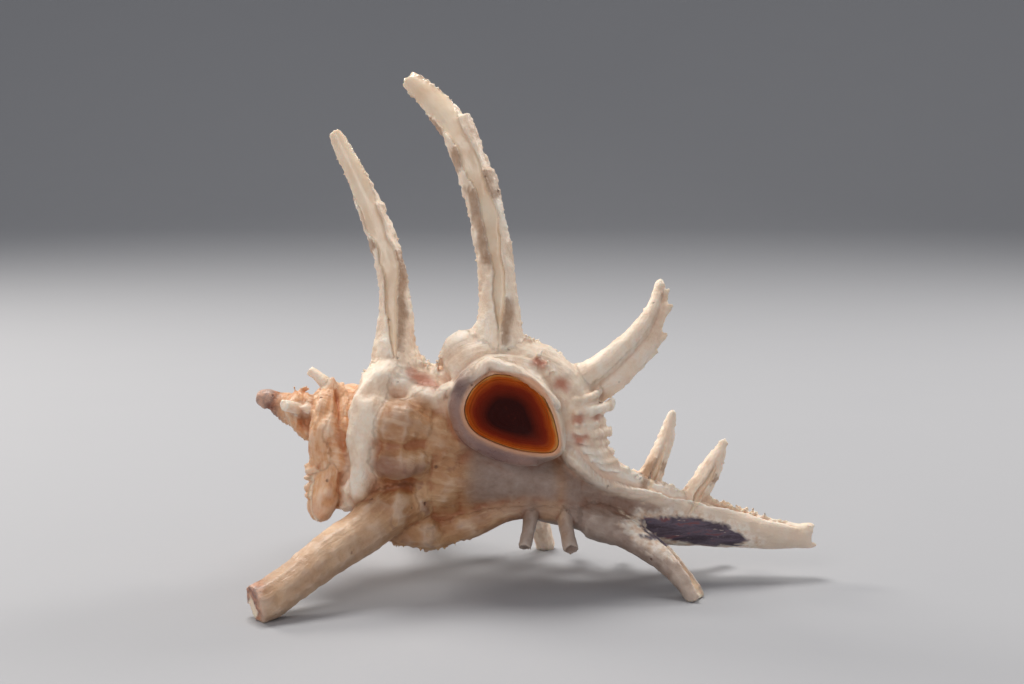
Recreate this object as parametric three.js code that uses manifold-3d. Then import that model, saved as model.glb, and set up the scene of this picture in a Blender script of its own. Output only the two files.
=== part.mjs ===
// A murex shell standing on its own spines, with the horny operculum closing its aperture.
//
// Millimetres, +Z up. +X runs from the tip of the spire towards the siphonal canal, and the aperture
// faces -Y. The shell grew as one piece, so it is one solid: coiled whorls, the long siphonal canal,
// three rows of spines a third of a turn apart, and the raised lip round the aperture. The operculum is
// a separate plate that sits in the aperture with a small gap all round.

import * as THREE from 'three';
import { mergeVertices } from 'three/addons/utils/BufferGeometryUtils.js';
import Module from 'manifold-3d';

const wasm = await Module();
wasm.setup();

// ---------------------------------------------------------------- driving dimensions

// Coiling: every full turn the whorls grow by the same factor, along and around one tilted axis.
const SPIRE_TIP = new THREE.Vector3(-42, 0, 30.4);
const AXIS_DROP = THREE.MathUtils.degToRad(16.5);
const GROWTH_PER_TURN = 1.75;
const TURNS = 4.1;
const LIP_ANGLE = 20; // degrees past the top at which the newest whorl ends, towards the aperture
const LIP_ALONG = 39; // distance of the last whorl's centre from the spire tip, along the axis
const LIP_OFFSET = 8; // distance of that centre from the axis
const WHORL_RADIUS = 10.2;
const WHORL_STRETCH = 1.2; // a whorl is longer along the axis than it is wide

// Thickened ribs, where the lip once stood: one every third of a turn.
const RIB_SPACING = 120;
const RIB_SWELL = 0.14;
const RIB_WIDTH = 13; // degrees

// The aperture and its operculum.
const MOUTH_CENTRE = new THREE.Vector3(0, -12.6, 30.2);
const MOUTH_OUTLINE = [
  [7.2, -2.8], [6, 1], [3.2, 5], [-2.4, 6.4], [-6, 4.4], [-7.6, 0.8], [-6.4, -2.5],
  [-3.2, -4.5], [1.4, -6], [5.9, -6.4], [7.4, -5.3],
]; // right and up from its centre: an egg whose narrow end points to the canal
const MOUTH_DEPTH = 4;
const LIP_THICKNESS = 1.3;
const THROAT_THICKNESS = 13;
const THROAT_WALL = 1.7;
const OPERCULUM_THICKNESS = 1.1;
const OPERCULUM_DISH = 1.2; // how far its middle sinks below its edge
const OPERCULUM_SINK = 1.1; // how far its edge sits inside the lip
const GAP = 0.35;

// Loft resolution: sides round a section, steps along a route.
const COIL_SIDES = 14;
const COIL_STEP = 15; // degrees
const MOUTH_SIDES = 26;
const MOUTH_RINGS = 2;

// ---------------------------------------------------------------- shapes

const DEGREE = Math.PI / 180;
const FRONT = new THREE.Vector3(0, -1, 0);
const AXIS = new THREE.Vector3(Math.cos(AXIS_DROP), 0, -Math.sin(AXIS_DROP));
const ACROSS = new THREE.Vector3(Math.sin(AXIS_DROP), 0, Math.cos(AXIS_DROP));

// A closed mesh, its faces pointing outwards, as a solid.
function solidOf(geometry) {
  const bare = geometry.clone();
  bare.deleteAttribute('normal');
  bare.deleteAttribute('uv');
  const merged = mergeVertices(bare, 1e-4);
  const mesh = new wasm.Mesh({
    numProp: 3,
    vertProperties: new Float32Array(merged.attributes.position.array),
    triVerts: new Uint32Array(merged.index.array),
  });
  return new wasm.Manifold(mesh);
}

// A cylinder bent to a route. place(t, out) sets the section's centre, its two half-axes and their
// directions at t from 0 to 1; shape(angle, t) scales the section's radius.
function bend(sides, steps, place, shape = () => 1) {
  const geometry = new THREE.CylinderGeometry(1, 1, 1, sides, steps);
  const points = geometry.attributes.position;
  const section = { centre: new THREE.Vector3(), a: new THREE.Vector3(), b: new THREE.Vector3() };
  for (let i = 0; i < points.count; i++) {
    const x = points.getX(i);
    const z = points.getZ(i);
    const t = 0.5 - points.getY(i);
    place(t, section);
    const scale = shape(Math.atan2(x, z) / DEGREE, t);
    const p = section.centre.clone();
    p.addScaledVector(section.a, x * scale).addScaledVector(section.b, z * scale);
    points.setXYZ(i, p.x, p.y, p.z);
  }
  return solidOf(geometry);
}

// A value that runs smoothly through a list of evenly spaced ones.
function blend(values, t) {
  const at = t * (values.length - 1);
  const low = Math.min(Math.floor(at), values.length - 2);
  const share = at - low;
  const eased = share * share * (3 - 2 * share);
  return values[low] + (values[low + 1] - values[low]) * eased;
}

// A rod along a smooth route. Each stop is [x, y, z, radius]; flat squeezes it from front to back, and
// groove (0 to 1) hollows its front face, narrowest at the root.
function rod(stops, { sides = 8, steps = 8, flat = 1, groove = 0 } = {}) {
  const curve = new THREE.CatmullRomCurve3(stops.map((s) => new THREE.Vector3(s[0], s[1], s[2])));
  const radii = stops.map((s) => s[3]);
  const place = (t, section) => {
    curve.getPoint(t, section.centre);
    const along = curve.getTangent(t);
    const radius = blend(radii, t);
    section.a.copy(FRONT).addScaledVector(along, -FRONT.dot(along)).normalize();
    section.b.crossVectors(along, section.a).multiplyScalar(radius);
    section.a.multiplyScalar(radius * flat);
  };
  const shape = (angle, t) => {
    const reach = 22 + 22 * t;
    return 1 - groove * Math.min(1, 3 * t) * Math.exp(-(((angle - 90) / reach) ** 2));
  };
  return bend(sides, steps, place, groove ? shape : undefined);
}

// A smooth lump: a sphere stretched to its half-sizes.
function lump(x, y, z, halfX, halfY, halfZ) {
  const ball = new THREE.SphereGeometry(1, 12, 8);
  ball.scale(halfX, halfY, halfZ).translate(x, y, z);
  return solidOf(ball);
}

// The whorls: one section swept round the axis while it grows, swollen at each old lip.
function coil() {
  const start = LIP_ANGLE - 360 * TURNS;
  const turned = LIP_ANGLE - start;
  const outwards = new THREE.Vector3();
  const place = (t, section) => {
    const angle = start + turned * t;
    const size = GROWTH_PER_TURN ** ((angle - LIP_ANGLE) / 360);
    const sinceRib = (((angle - LIP_ANGLE) % RIB_SPACING) + RIB_SPACING) % RIB_SPACING;
    const fromRib = Math.min(sinceRib, RIB_SPACING - sinceRib);
    const swell = 1 + RIB_SWELL * Math.exp(-((fromRib / RIB_WIDTH) ** 2));
    outwards.copy(ACROSS).multiplyScalar(Math.cos(angle * DEGREE));
    outwards.addScaledVector(FRONT, Math.sin(angle * DEGREE));
    section.centre.copy(SPIRE_TIP).addScaledVector(AXIS, LIP_ALONG * size);
    section.centre.addScaledVector(outwards, LIP_OFFSET * size);
    section.a.copy(outwards).multiplyScalar(WHORL_RADIUS * size * swell);
    section.b.copy(AXIS).multiplyScalar(-WHORL_RADIUS * WHORL_STRETCH * size * swell);
  };
  return bend(COIL_SIDES, Math.round(turned / COIL_STEP), place);
}

// The solid middle of the spire, and the long canal that the base draws out into.
function columellaAndCanal() {
  const spire = rod(
    [[-42.6, 0, 31, 1.4], [-38, 0, 29.6, 2.4], [-32, 0, 27.8, 3.6], [-20, -1, 23, 8]],
    { sides: 10, steps: 6 },
  );
  const canal = rod(
    [
      [-21, -0.5, 22, 10.4], [-13, -1, 20.4, 11.4], [-5, -2, 19.6, 8.6], [3, -2.5, 17.8, 6.8],
      [9, -2, 15.4, 6],
      [15, -1.5, 12.8, 5.2], [22, -1, 10.8, 4.6], [29, -0.5, 9.6, 4], [36, 0, 8.6, 3.5],
      [43, 0, 7.6, 2.7], [51, 0, 7, 1.8],
    ],
    { sides: 12, steps: 18, flat: 0.85 },
  );
  return spire.add(canal);
}

// The newest rib: the broad wing behind the aperture, with its two long spines and the short ones
// along the canal.
function newestRib() {
  const wing = rod(
    [
      [-9, -4, 34.5, 3.8], [-5, -4.5, 37.2, 4.6], [1.5, -4.5, 36.5, 4.4], [7.4, -4, 33.4, 4.4],
      [10.6, -4, 28.6, 4.4], [11.4, -4, 23.6, 4.2], [15, -3, 18.8, 3.4], [21, -2, 15.4, 2.8],
      [28, -1, 13, 2.1], [35, -0.5, 11.2, 1.5], [43, 0, 8.8, 1],
    ],
    { sides: 8, steps: 20 },
  );
  const shoulderSpine = rod(
    [
      [-2.2, -3.5, 37.5, 5], [-2.1, -3, 42.6, 3.7], [-2.3, -2, 48.5, 3.2], [-3.5, 0, 57.4, 3],
      [-5.7, 2, 66.6, 2.9], [-9, 4.5, 74.6, 2.5], [-13.1, 7.5, 79.7, 1.9], [-17.6, 10, 83.8, 1.4],
    ],
    { sides: 10, steps: 16, groove: 0.45 },
  );
  const middleSpine = rod(
    [
      [8, -3, 32.5, 4], [14.5, -2, 35.7, 3.2], [18.6, -1, 38.4, 3], [22, 0, 41.4, 2.6],
      [24.5, 2, 45.6, 1.5], [25.2, 4, 50.6, 0.7],
    ],
    { sides: 10, steps: 10, flat: 0.8, groove: 0.3 },
  );
  const upperCanalSpine = rod(
    [[21.5, -1, 13.5, 2.2], [23.8, 0, 18.8, 1.7], [25.6, 1, 23, 1.5], [27.1, 2, 28.4, 0.5]],
    { steps: 6, flat: 0.8 },
  );
  const lowerCanalSpine = rod(
    [[29, -0.5, 11, 2], [31.5, 0, 15.6, 1.7], [33.4, 1, 18.8, 1.4], [36, 2, 23.6, 0.4]],
    { steps: 6, flat: 0.8 },
  );
  return [wing, shoulderSpine, middleSpine, upperCanalSpine, lowerCanalSpine];
}

// The rib a third of a turn older, at the back: it carries the two rear feet.
function rearRib() {
  const ridge = rod(
    [
      [-21, 11, 27, 1.4], [-16, 14.2, 21, 2.8], [-8, 14, 15.5, 2.6], [-1, 11, 13.6, 2.3],
      [6, 8, 13, 2], [14, 5, 11.5, 2], [23, 3.2, 9.8, 1.8], [31, 2.4, 8.2, 1.4],
    ],
    { steps: 14 },
  );
  const rearFoot = rod(
    [
      [-14.6, 12, 19.5, 4], [-16.2, 19, 17.4, 3.2], [-19, 26, 13.4, 2.8], [-22.6, 32, 7.4, 2.5],
      [-25.5, 35.5, -1, 2.2],
    ],
    { sides: 10, steps: 10 },
  );
  const middleFoot = rod(
    [[-3.5, 10, 16, 2.8], [0.5, 13.6, 11.6, 2.1], [4.2, 16.6, 6.2, 1.8], [6.2, 19, -1, 1.6]],
    { steps: 7 },
  );
  const shortSpines = [
    rod([[9, 6, 12.5, 1.5], [9.8, 9.4, 10, 1.2], [10.2, 12.4, 6.4, 0.8]], { sides: 6, steps: 4 }),
    rod([[16, 4, 11, 1.4], [17.2, 7.4, 8.8, 1.1], [18, 10.2, 5.8, 0.7]], { sides: 6, steps: 4 }),
    rod([[25, 2.6, 9, 2], [31, 4.8, 7.2, 1.6], [36.5, 8, 5, 1.2]], { sides: 8, steps: 5 }),
  ];
  return [ridge, rearFoot, middleFoot, ...shortSpines];
}

// The rib two thirds of a turn older, at the front: it carries the two front feet.
function frontRib() {
  const ridge = rod(
    [
      [-21.8, -5, 33.5, 1.6], [-23.6, -8.5, 26, 1.7], [-22.6, -9, 18.5, 2.2], [-18.5, -8, 11.2, 3],
      [-12, -6.5, 9.6, 2.6], [-6, -6, 11.2, 2.4], [1, -6.5, 13.6, 2], [8, -6.2, 12.8, 2],
      [15, -6, 10.6, 2.2], [21, -6.5, 8.6, 2.4],
    ],
    { steps: 18 },
  );
  const flange = rod(
    [[-24.4, -5, 25, 2], [-25.6, -6, 19, 2.4], [-26, -7.4, 14, 2.2]],
    { sides: 6, steps: 4, flat: 0.8 },
  );
  const frontFoot = rod(
    [
      [-17, -7, 16, 4.4], [-23.5, -11.5, 11.2, 3.7], [-29, -16, 8.4, 3.4], [-34, -20.4, 5.2, 3.1],
      [-39.2, -24.4, 1.6, 2.8],
    ],
    { sides: 10, steps: 10 },
  );
  const canalFoot = rod(
    [[16, -5, 10.5, 2.6], [21.5, -7.4, 8, 2.5], [26, -10.4, 5, 2.4], [29.8, -13.6, -1, 2.1]],
    { steps: 8, flat: 0.7 },
  );
  const shortSpines = [
    rod([[3.4, -5, 15.5, 1.7], [2.9, -9, 11.5, 1.1], [1.9, -12, 8, 1]], { sides: 6, steps: 4 }),
    rod([[8.2, -5, 15, 1.8], [8.8, -8.4, 11, 1.2], [9.5, -11.2, 7.6, 1.1]], { sides: 6, steps: 4 }),
  ];
  return [ridge, flange, frontFoot, canalFoot, ...shortSpines];
}

// The same three ribs one and two turns older, up the spire.
function spireSpines() {
  const tallRib = rod(
    [[-22, -5, 32.5, 2.4], [-19.2, -2.4, 34, 4.4], [-14.4, -3, 33.4, 3.6], [-11, -5, 31.5, 2.6]],
    { steps: 8 },
  );
  const tallSpine = rod(
    [
      [-18.8, -1.5, 34, 4.4], [-19.2, -0.5, 40, 3.1], [-19.3, 1, 46, 2.7], [-20.2, 2.4, 52.5, 2.4],
      [-22.4, 4.4, 59, 2.2], [-25.9, 6.6, 67, 1.7], [-30, 9, 74.8, 1.2],
    ],
    { sides: 10, steps: 14, groove: 0.45 },
  );
  return [
    tallRib,
    tallSpine,
    rod([[-28.5, 3, 25, 3], [-30, 9, 26, 2], [-32.5, 15, 27, 1.5]], { steps: 5 }),
    rod(
      [[-29.6, -4, 22.5, 3.2], [-30.1, -7, 18.2, 2.5], [-30.9, -9, 14.4, 2.4], [-31.5, -10, 11.6, 1.7]],
      { steps: 6 },
    ),
    rod([[-29.5, -1, 31.5, 1.6], [-31.5, -0.5, 33.8, 1], [-33.8, 0, 35.4, 0.8]], { sides: 6, steps: 4 }),
    rod([[-34, -2, 29, 1.5], [-35.5, -5, 30, 1.1], [-37.2, -7, 30.8, 1]], { sides: 6, steps: 3 }),
  ];
}

// Two rounded knobs between the ribs on the face beside the aperture, and their like at the back.
function knobs() {
  return [
    lump(-18.2, -8, 27.6, 5.6, 4.8, 4),
    lump(-18, -8.6, 20.4, 5, 4.8, 3.8),
    lump(-12, 11, 27, 4.6, 4, 4.6),
    lump(-9, 7.5, 32.5, 5, 4, 4.2),
  ];
}

const mouthCurve = new THREE.CatmullRomCurve3(
  MOUTH_OUTLINE.map(([right, up]) => new THREE.Vector3(right, 0, up)),
  true,
);

// A plate with the outline of the aperture, grown outwards by margin. front is how far it sits behind the
// aperture's own plane, and its middle sinks back by dish.
function mouthPlate(margin, front, thickness, dish = 0) {
  const plate = new THREE.CylinderGeometry(1, 1, 1, MOUTH_SIDES, MOUTH_RINGS);
  const points = plate.attributes.position;
  const edge = new THREE.Vector3();
  for (let i = 0; i < points.count; i++) {
    const x = points.getX(i);
    const z = points.getZ(i);
    const reach = Math.hypot(x, z);
    const turn = (Math.atan2(-z, x) / (2 * Math.PI) + 1) % 1;
    mouthCurve.getPoint(turn, edge);
    edge.setLength((edge.length() + margin) * reach);
    const back = front + (0.5 - points.getY(i)) * thickness + dish * (1 - reach ** 2);
    points.setXYZ(i, MOUTH_CENTRE.x + edge.x, MOUTH_CENTRE.y + back, MOUTH_CENTRE.z + edge.z);
  }
  return plate;
}

// The last part of the newest whorl, turning to the front, with the raised lip round its end and
// the crest that stands above it.
function mouth() {
  const lip = new THREE.TorusGeometry(1, 1, 6, MOUTH_SIDES);
  const points = lip.attributes.position;
  const edge = new THREE.Vector3();
  for (let i = 0; i < points.count; i++) {
    const x = points.getX(i);
    const y = points.getY(i);
    const out = (Math.hypot(x, y) - 1) * LIP_THICKNESS;
    mouthCurve.getPoint((Math.atan2(y, x) / (2 * Math.PI) + 1) % 1, edge);
    edge.setLength(edge.length() + LIP_THICKNESS * 0.8 + out);
    points.setXYZ(
      i,
      MOUTH_CENTRE.x + edge.x,
      MOUTH_CENTRE.y + 0.9 - points.getZ(i) * LIP_THICKNESS,
      MOUTH_CENTRE.z + edge.z,
    );
  }
  const crest = rod(
    [
      [-10.6, -9.6, 34.6, 1.6], [-7.6, -11.4, 36.2, 1.6], [-4, -12, 38, 1.5], [1, -12, 37.4, 1.3],
      [6.2, -11.6, 34, 1.1],
    ],
    { sides: 6, steps: 8 },
  );
  return [solidOf(mouthPlate(THROAT_WALL, 0.4, THROAT_THICKNESS)), solidOf(lip), crest];
}

function solidGeometry(solid) {
  const mesh = solid.getMesh();
  const geometry = new THREE.BufferGeometry();
  geometry.setAttribute('position', new THREE.BufferAttribute(new Float32Array(mesh.vertProperties), 3));
  geometry.setIndex(new THREE.BufferAttribute(new Uint32Array(mesh.triVerts), 1));
  return geometry;
}

// Everything grown together, opened at the aperture, and worn flat where the feet stand.
function shellGeometry() {
  const grown = [
    coil(), columellaAndCanal(), ...mouth(), ...newestRib(), ...rearRib(), ...frontRib(),
    ...spireSpines(), ...knobs(),
  ];
  const whole = grown.reduce((sum, piece) => sum.add(piece));
  const opening = solidOf(mouthPlate(0, -3, 3 + MOUTH_DEPTH));
  const ground = solidOf(new THREE.BoxGeometry(200, 200, 20).translate(0, 0, -10));
  const cut = whole.subtract(opening).subtract(ground);
  const bodies = cut.decompose().sort((one, other) => other.volume() - one.volume());
  return solidGeometry(bodies[0]);
}

function operculumGeometry() {
  return mouthPlate(-GAP, OPERCULUM_SINK, OPERCULUM_THICKNESS, OPERCULUM_DISH);
}

// ---------------------------------------------------------------- the model

const shell = new THREE.Mesh(
  shellGeometry(),
  new THREE.MeshStandardMaterial({ color: 0xead9c2, roughness: 0.45, metalness: 0 }),
);
shell.name = 'shell';

const operculum = new THREE.Mesh(
  operculumGeometry(),
  new THREE.MeshStandardMaterial({ color: 0x6b2a0c, roughness: 0.35, metalness: 0 }),
);
operculum.name = 'operculum';

// The origin is on the ground, under the middle of the shell's outline.
const murex = new THREE.Group();
murex.add(shell, operculum);
const outline = new THREE.Box3().setFromObject(shell, true);
murex.position.set(-(outline.min.x + outline.max.x) / 2, -(outline.min.y + outline.max.y) / 2, 0);

export default murex;
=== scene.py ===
"""A murex shell standing on its own spines, with the horny operculum closing its aperture.

Shapes are worked out in millimetres in the shell's own standing frame: X runs from the tip of the spire
towards the siphonal canal, -Y is the way the aperture faces, Z is up and the ground is Z = 0. Every
finished mesh is then put in metres into the shared frame.
"""

import itertools
import math

import bmesh
import bpy
import numpy as np
from mathutils import Matrix, Vector


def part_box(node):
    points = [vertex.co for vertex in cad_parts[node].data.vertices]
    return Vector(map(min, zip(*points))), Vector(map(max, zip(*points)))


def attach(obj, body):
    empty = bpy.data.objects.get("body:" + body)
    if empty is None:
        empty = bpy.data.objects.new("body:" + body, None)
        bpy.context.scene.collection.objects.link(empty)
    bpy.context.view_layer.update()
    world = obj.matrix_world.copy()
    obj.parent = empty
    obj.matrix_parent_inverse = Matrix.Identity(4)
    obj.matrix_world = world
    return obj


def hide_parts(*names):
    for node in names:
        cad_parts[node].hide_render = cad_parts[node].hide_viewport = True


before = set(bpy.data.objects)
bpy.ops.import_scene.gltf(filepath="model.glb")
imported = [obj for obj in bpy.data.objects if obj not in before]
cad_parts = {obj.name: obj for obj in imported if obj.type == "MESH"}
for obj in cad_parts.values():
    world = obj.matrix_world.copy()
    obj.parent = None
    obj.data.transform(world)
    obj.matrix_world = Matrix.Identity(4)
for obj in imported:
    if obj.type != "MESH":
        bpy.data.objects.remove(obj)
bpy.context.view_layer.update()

bl_info = {
    "name": "Murex shell",
    "version": (1, 0, 0),
    "blender": (4, 5, 0),
    "location": "3D View > Sidebar > Murex",
    "description": "Grows a spiny murex shell with its operculum, and lays a plain stage for it",
    "category": "Add Mesh",
}

# ---------------------------------------------------------------- where the shell stands

MM = 0.001
OUTLINE_CENTRE = (4.06, 5.39)  # middle of the shell's outline in its standing frame, in mm
_low, _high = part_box("shell")
STAND = Vector((_low.x + _high.x, _low.y + _high.y, 2 * _low.z)) / 2
TO_FRAME = (
    Matrix.Translation(STAND)
    @ Matrix.Diagonal((MM, MM, MM, 1))
    @ Matrix.Translation((-OUTLINE_CENTRE[0], -OUTLINE_CENTRE[1], 0))
)

# ---------------------------------------------------------------- how the shell grew (millimetres)

SPIRE_TIP = np.array((-42.0, 0.0, 30.4))
AXIS_DROP = math.radians(16.5)
AXIS = np.array((math.cos(AXIS_DROP), 0.0, -math.sin(AXIS_DROP)))
ACROSS = np.array((math.sin(AXIS_DROP), 0.0, math.cos(AXIS_DROP)))
FRONT = np.array((0.0, -1.0, 0.0))
UP = np.array((0.0, 0.0, 1.0))
GROWTH = 1.75  # how much larger each whorl is than the last
TURNS = 4.1
LIP_ANGLE = 20.0  # degrees past the top, towards the aperture
LIP_ALONG = 39.0
LIP_OFFSET = 8.0
WHORL_RADIUS = 10.2
WHORL_STRETCH = 1.2
RIB_SPACING = 120.0  # degrees between one old lip and the next
THREADS = 15  # spiral threads round a whorl's section, and the fine ones between them
FINE_THREADS = 34

# The aperture: right and up from its centre, an egg whose narrow end points to the canal.
MOUTH_CENTRE = np.array((0.0, -12.6, 30.2))
MOUTH_OUTLINE = (
    (7.2, -2.8), (6.0, 1.0), (3.2, 5.0), (-2.4, 6.4), (-6.0, 4.4), (-7.6, 0.8), (-6.4, -2.5),
    (-3.2, -4.5), (1.4, -6.0), (5.9, -6.4), (7.4, -5.3),
)
MOUTH_DEPTH = 4.0
MOUTH_POINTS = 96  # points round the collar and the hollow
# Rings of the collar and of the hollow: how far outside the outline and how far back each one lies.
COLLAR_STEPS = ((0.8, 0.3), (1.9, 1.1), (3.2, 3.2), (2.6, 12))
HOLLOW_STEPS = ((0.5, -4), (0, 0.6), (0, 3.6), (-0.8, MOUTH_DEPTH))
COLLAR_NARROW = math.radians(40)  # the way from the aperture's centre that the collar is narrowest
OPERCULUM_GAP = 0.12
OPERCULUM_SINK = 0.75
OPERCULUM_DISH = 1.3
OPERCULUM_THICKNESS = 1.0
OPERCULUM_START = np.array((-0.4, -1.0))  # where its growth rings begin, right and up from the centre
OPERCULUM_NEWEST = math.radians(30)  # the way that its newest, most amber edge lies

# Points round each kind of body.
BODY_SIDES = 40
RIB_SIDES = 20
SPINE_SIDES = 48
TALL_SPINE_SIDES = 72
CREST_SIDES = 24

# Faces of the grooves: they always open the way the shell was growing.
FACE_TOP = (0.0, -1.0, 0.0)
FACE_REAR = (0.2, 0.3, 0.93)
FACE_BELOW = (-0.2, 0.7, -0.68)


# ---------------------------------------------------------------- small mathematics


def ease(low, high, value):
    """0 below low, 1 above high and smooth between; low may be the larger one."""
    t = np.clip((value - low) / (high - low), 0.0, 1.0)
    return t * t * (3.0 - 2.0 * t)


def hill(value, centre, width):
    """1 at the centre and falling smoothly to 0 on both sides."""
    return np.exp(-(((value - centre) / width) ** 2))


def unit(vectors):
    vectors = np.asarray(vectors, float)
    return vectors / np.maximum(np.linalg.norm(vectors, axis=-1, keepdims=True), 1e-9)


# Large odd numbers that make neighbouring cells of the noise unlike each other.
GRAIN_X, GRAIN_Y, GRAIN_Z = 374761393, 668265263, 2147483647
GRAIN_SEED, GRAIN_STIR = 1013904223, 1274126177


def grain(points, size, seed):
    """Smooth noise from -1 to 1 whose lumps are about size across."""
    points = np.atleast_2d(np.asarray(points, float)) / size
    cell = np.floor(points).astype(np.int64)
    part = points - cell
    part = part * part * (3.0 - 2.0 * part)
    total = np.zeros(len(points))
    for corner in itertools.product((0, 1), repeat=3):
        at = cell + corner
        mixed = at[:, 0] * GRAIN_X + at[:, 1] * GRAIN_Y + at[:, 2] * GRAIN_Z + seed * GRAIN_SEED
        mixed = (mixed ^ (mixed >> 13)) * GRAIN_STIR
        mixed = (mixed ^ (mixed >> 16)) & 0xFFFFFF
        share = np.prod(np.where(corner, part, 1.0 - part), axis=1)
        total += share * (mixed / 0x7FFFFF - 1.0)
    return total


def grain_line(values, size, seed):
    """The same noise along a line."""
    values = np.atleast_1d(np.asarray(values, float))
    return grain(np.stack([values, values * 0 + 0.5, values * 0 + 0.5], 1), size, seed)


def spline(stops, step):
    """A smooth run through the stops, sampled about every step along it."""
    stops = np.array(stops, float)
    padded = np.vstack([2 * stops[0] - stops[1], stops, 2 * stops[-1] - stops[-2]])
    out = []
    for a, b, c, d in zip(padded, padded[1:], padded[2:], padded[3:]):
        count = max(2, math.ceil(np.linalg.norm((c - b)[:3]) / step))
        t = (np.arange(count) / count)[:, None]
        out.append(
            0.5 * (2 * b + (c - a) * t + (2 * a - 5 * b + 4 * c - d) * t**2 + (3 * b - a - 3 * c + d) * t**3)
        )
    out.append(stops[-1:])
    return np.vstack(out)


def closed_outline(points, count):
    """count points spread evenly round a smooth closed outline through the given ones."""
    ring = np.array(points, float)
    run = spline(np.vstack([ring[-3:], ring, ring[:3]]), 0.1)
    start = np.argmin(np.linalg.norm(run[: len(run) // 2] - ring[0], axis=1))
    back = len(run) // 2
    end = back + np.argmin(np.linalg.norm(run[back:] - ring[0], axis=1))
    run = run[start : end + 1]
    reach = np.concatenate([[0], np.cumsum(np.linalg.norm(np.diff(run, axis=0), axis=1))])
    at = np.linspace(0, reach[-1], count, endpoint=False)
    return np.stack([np.interp(at, reach, run[:, k]) for k in range(ring.shape[1])], 1)


# ---------------------------------------------------------------- rods: every spine, rib and fork


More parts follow.
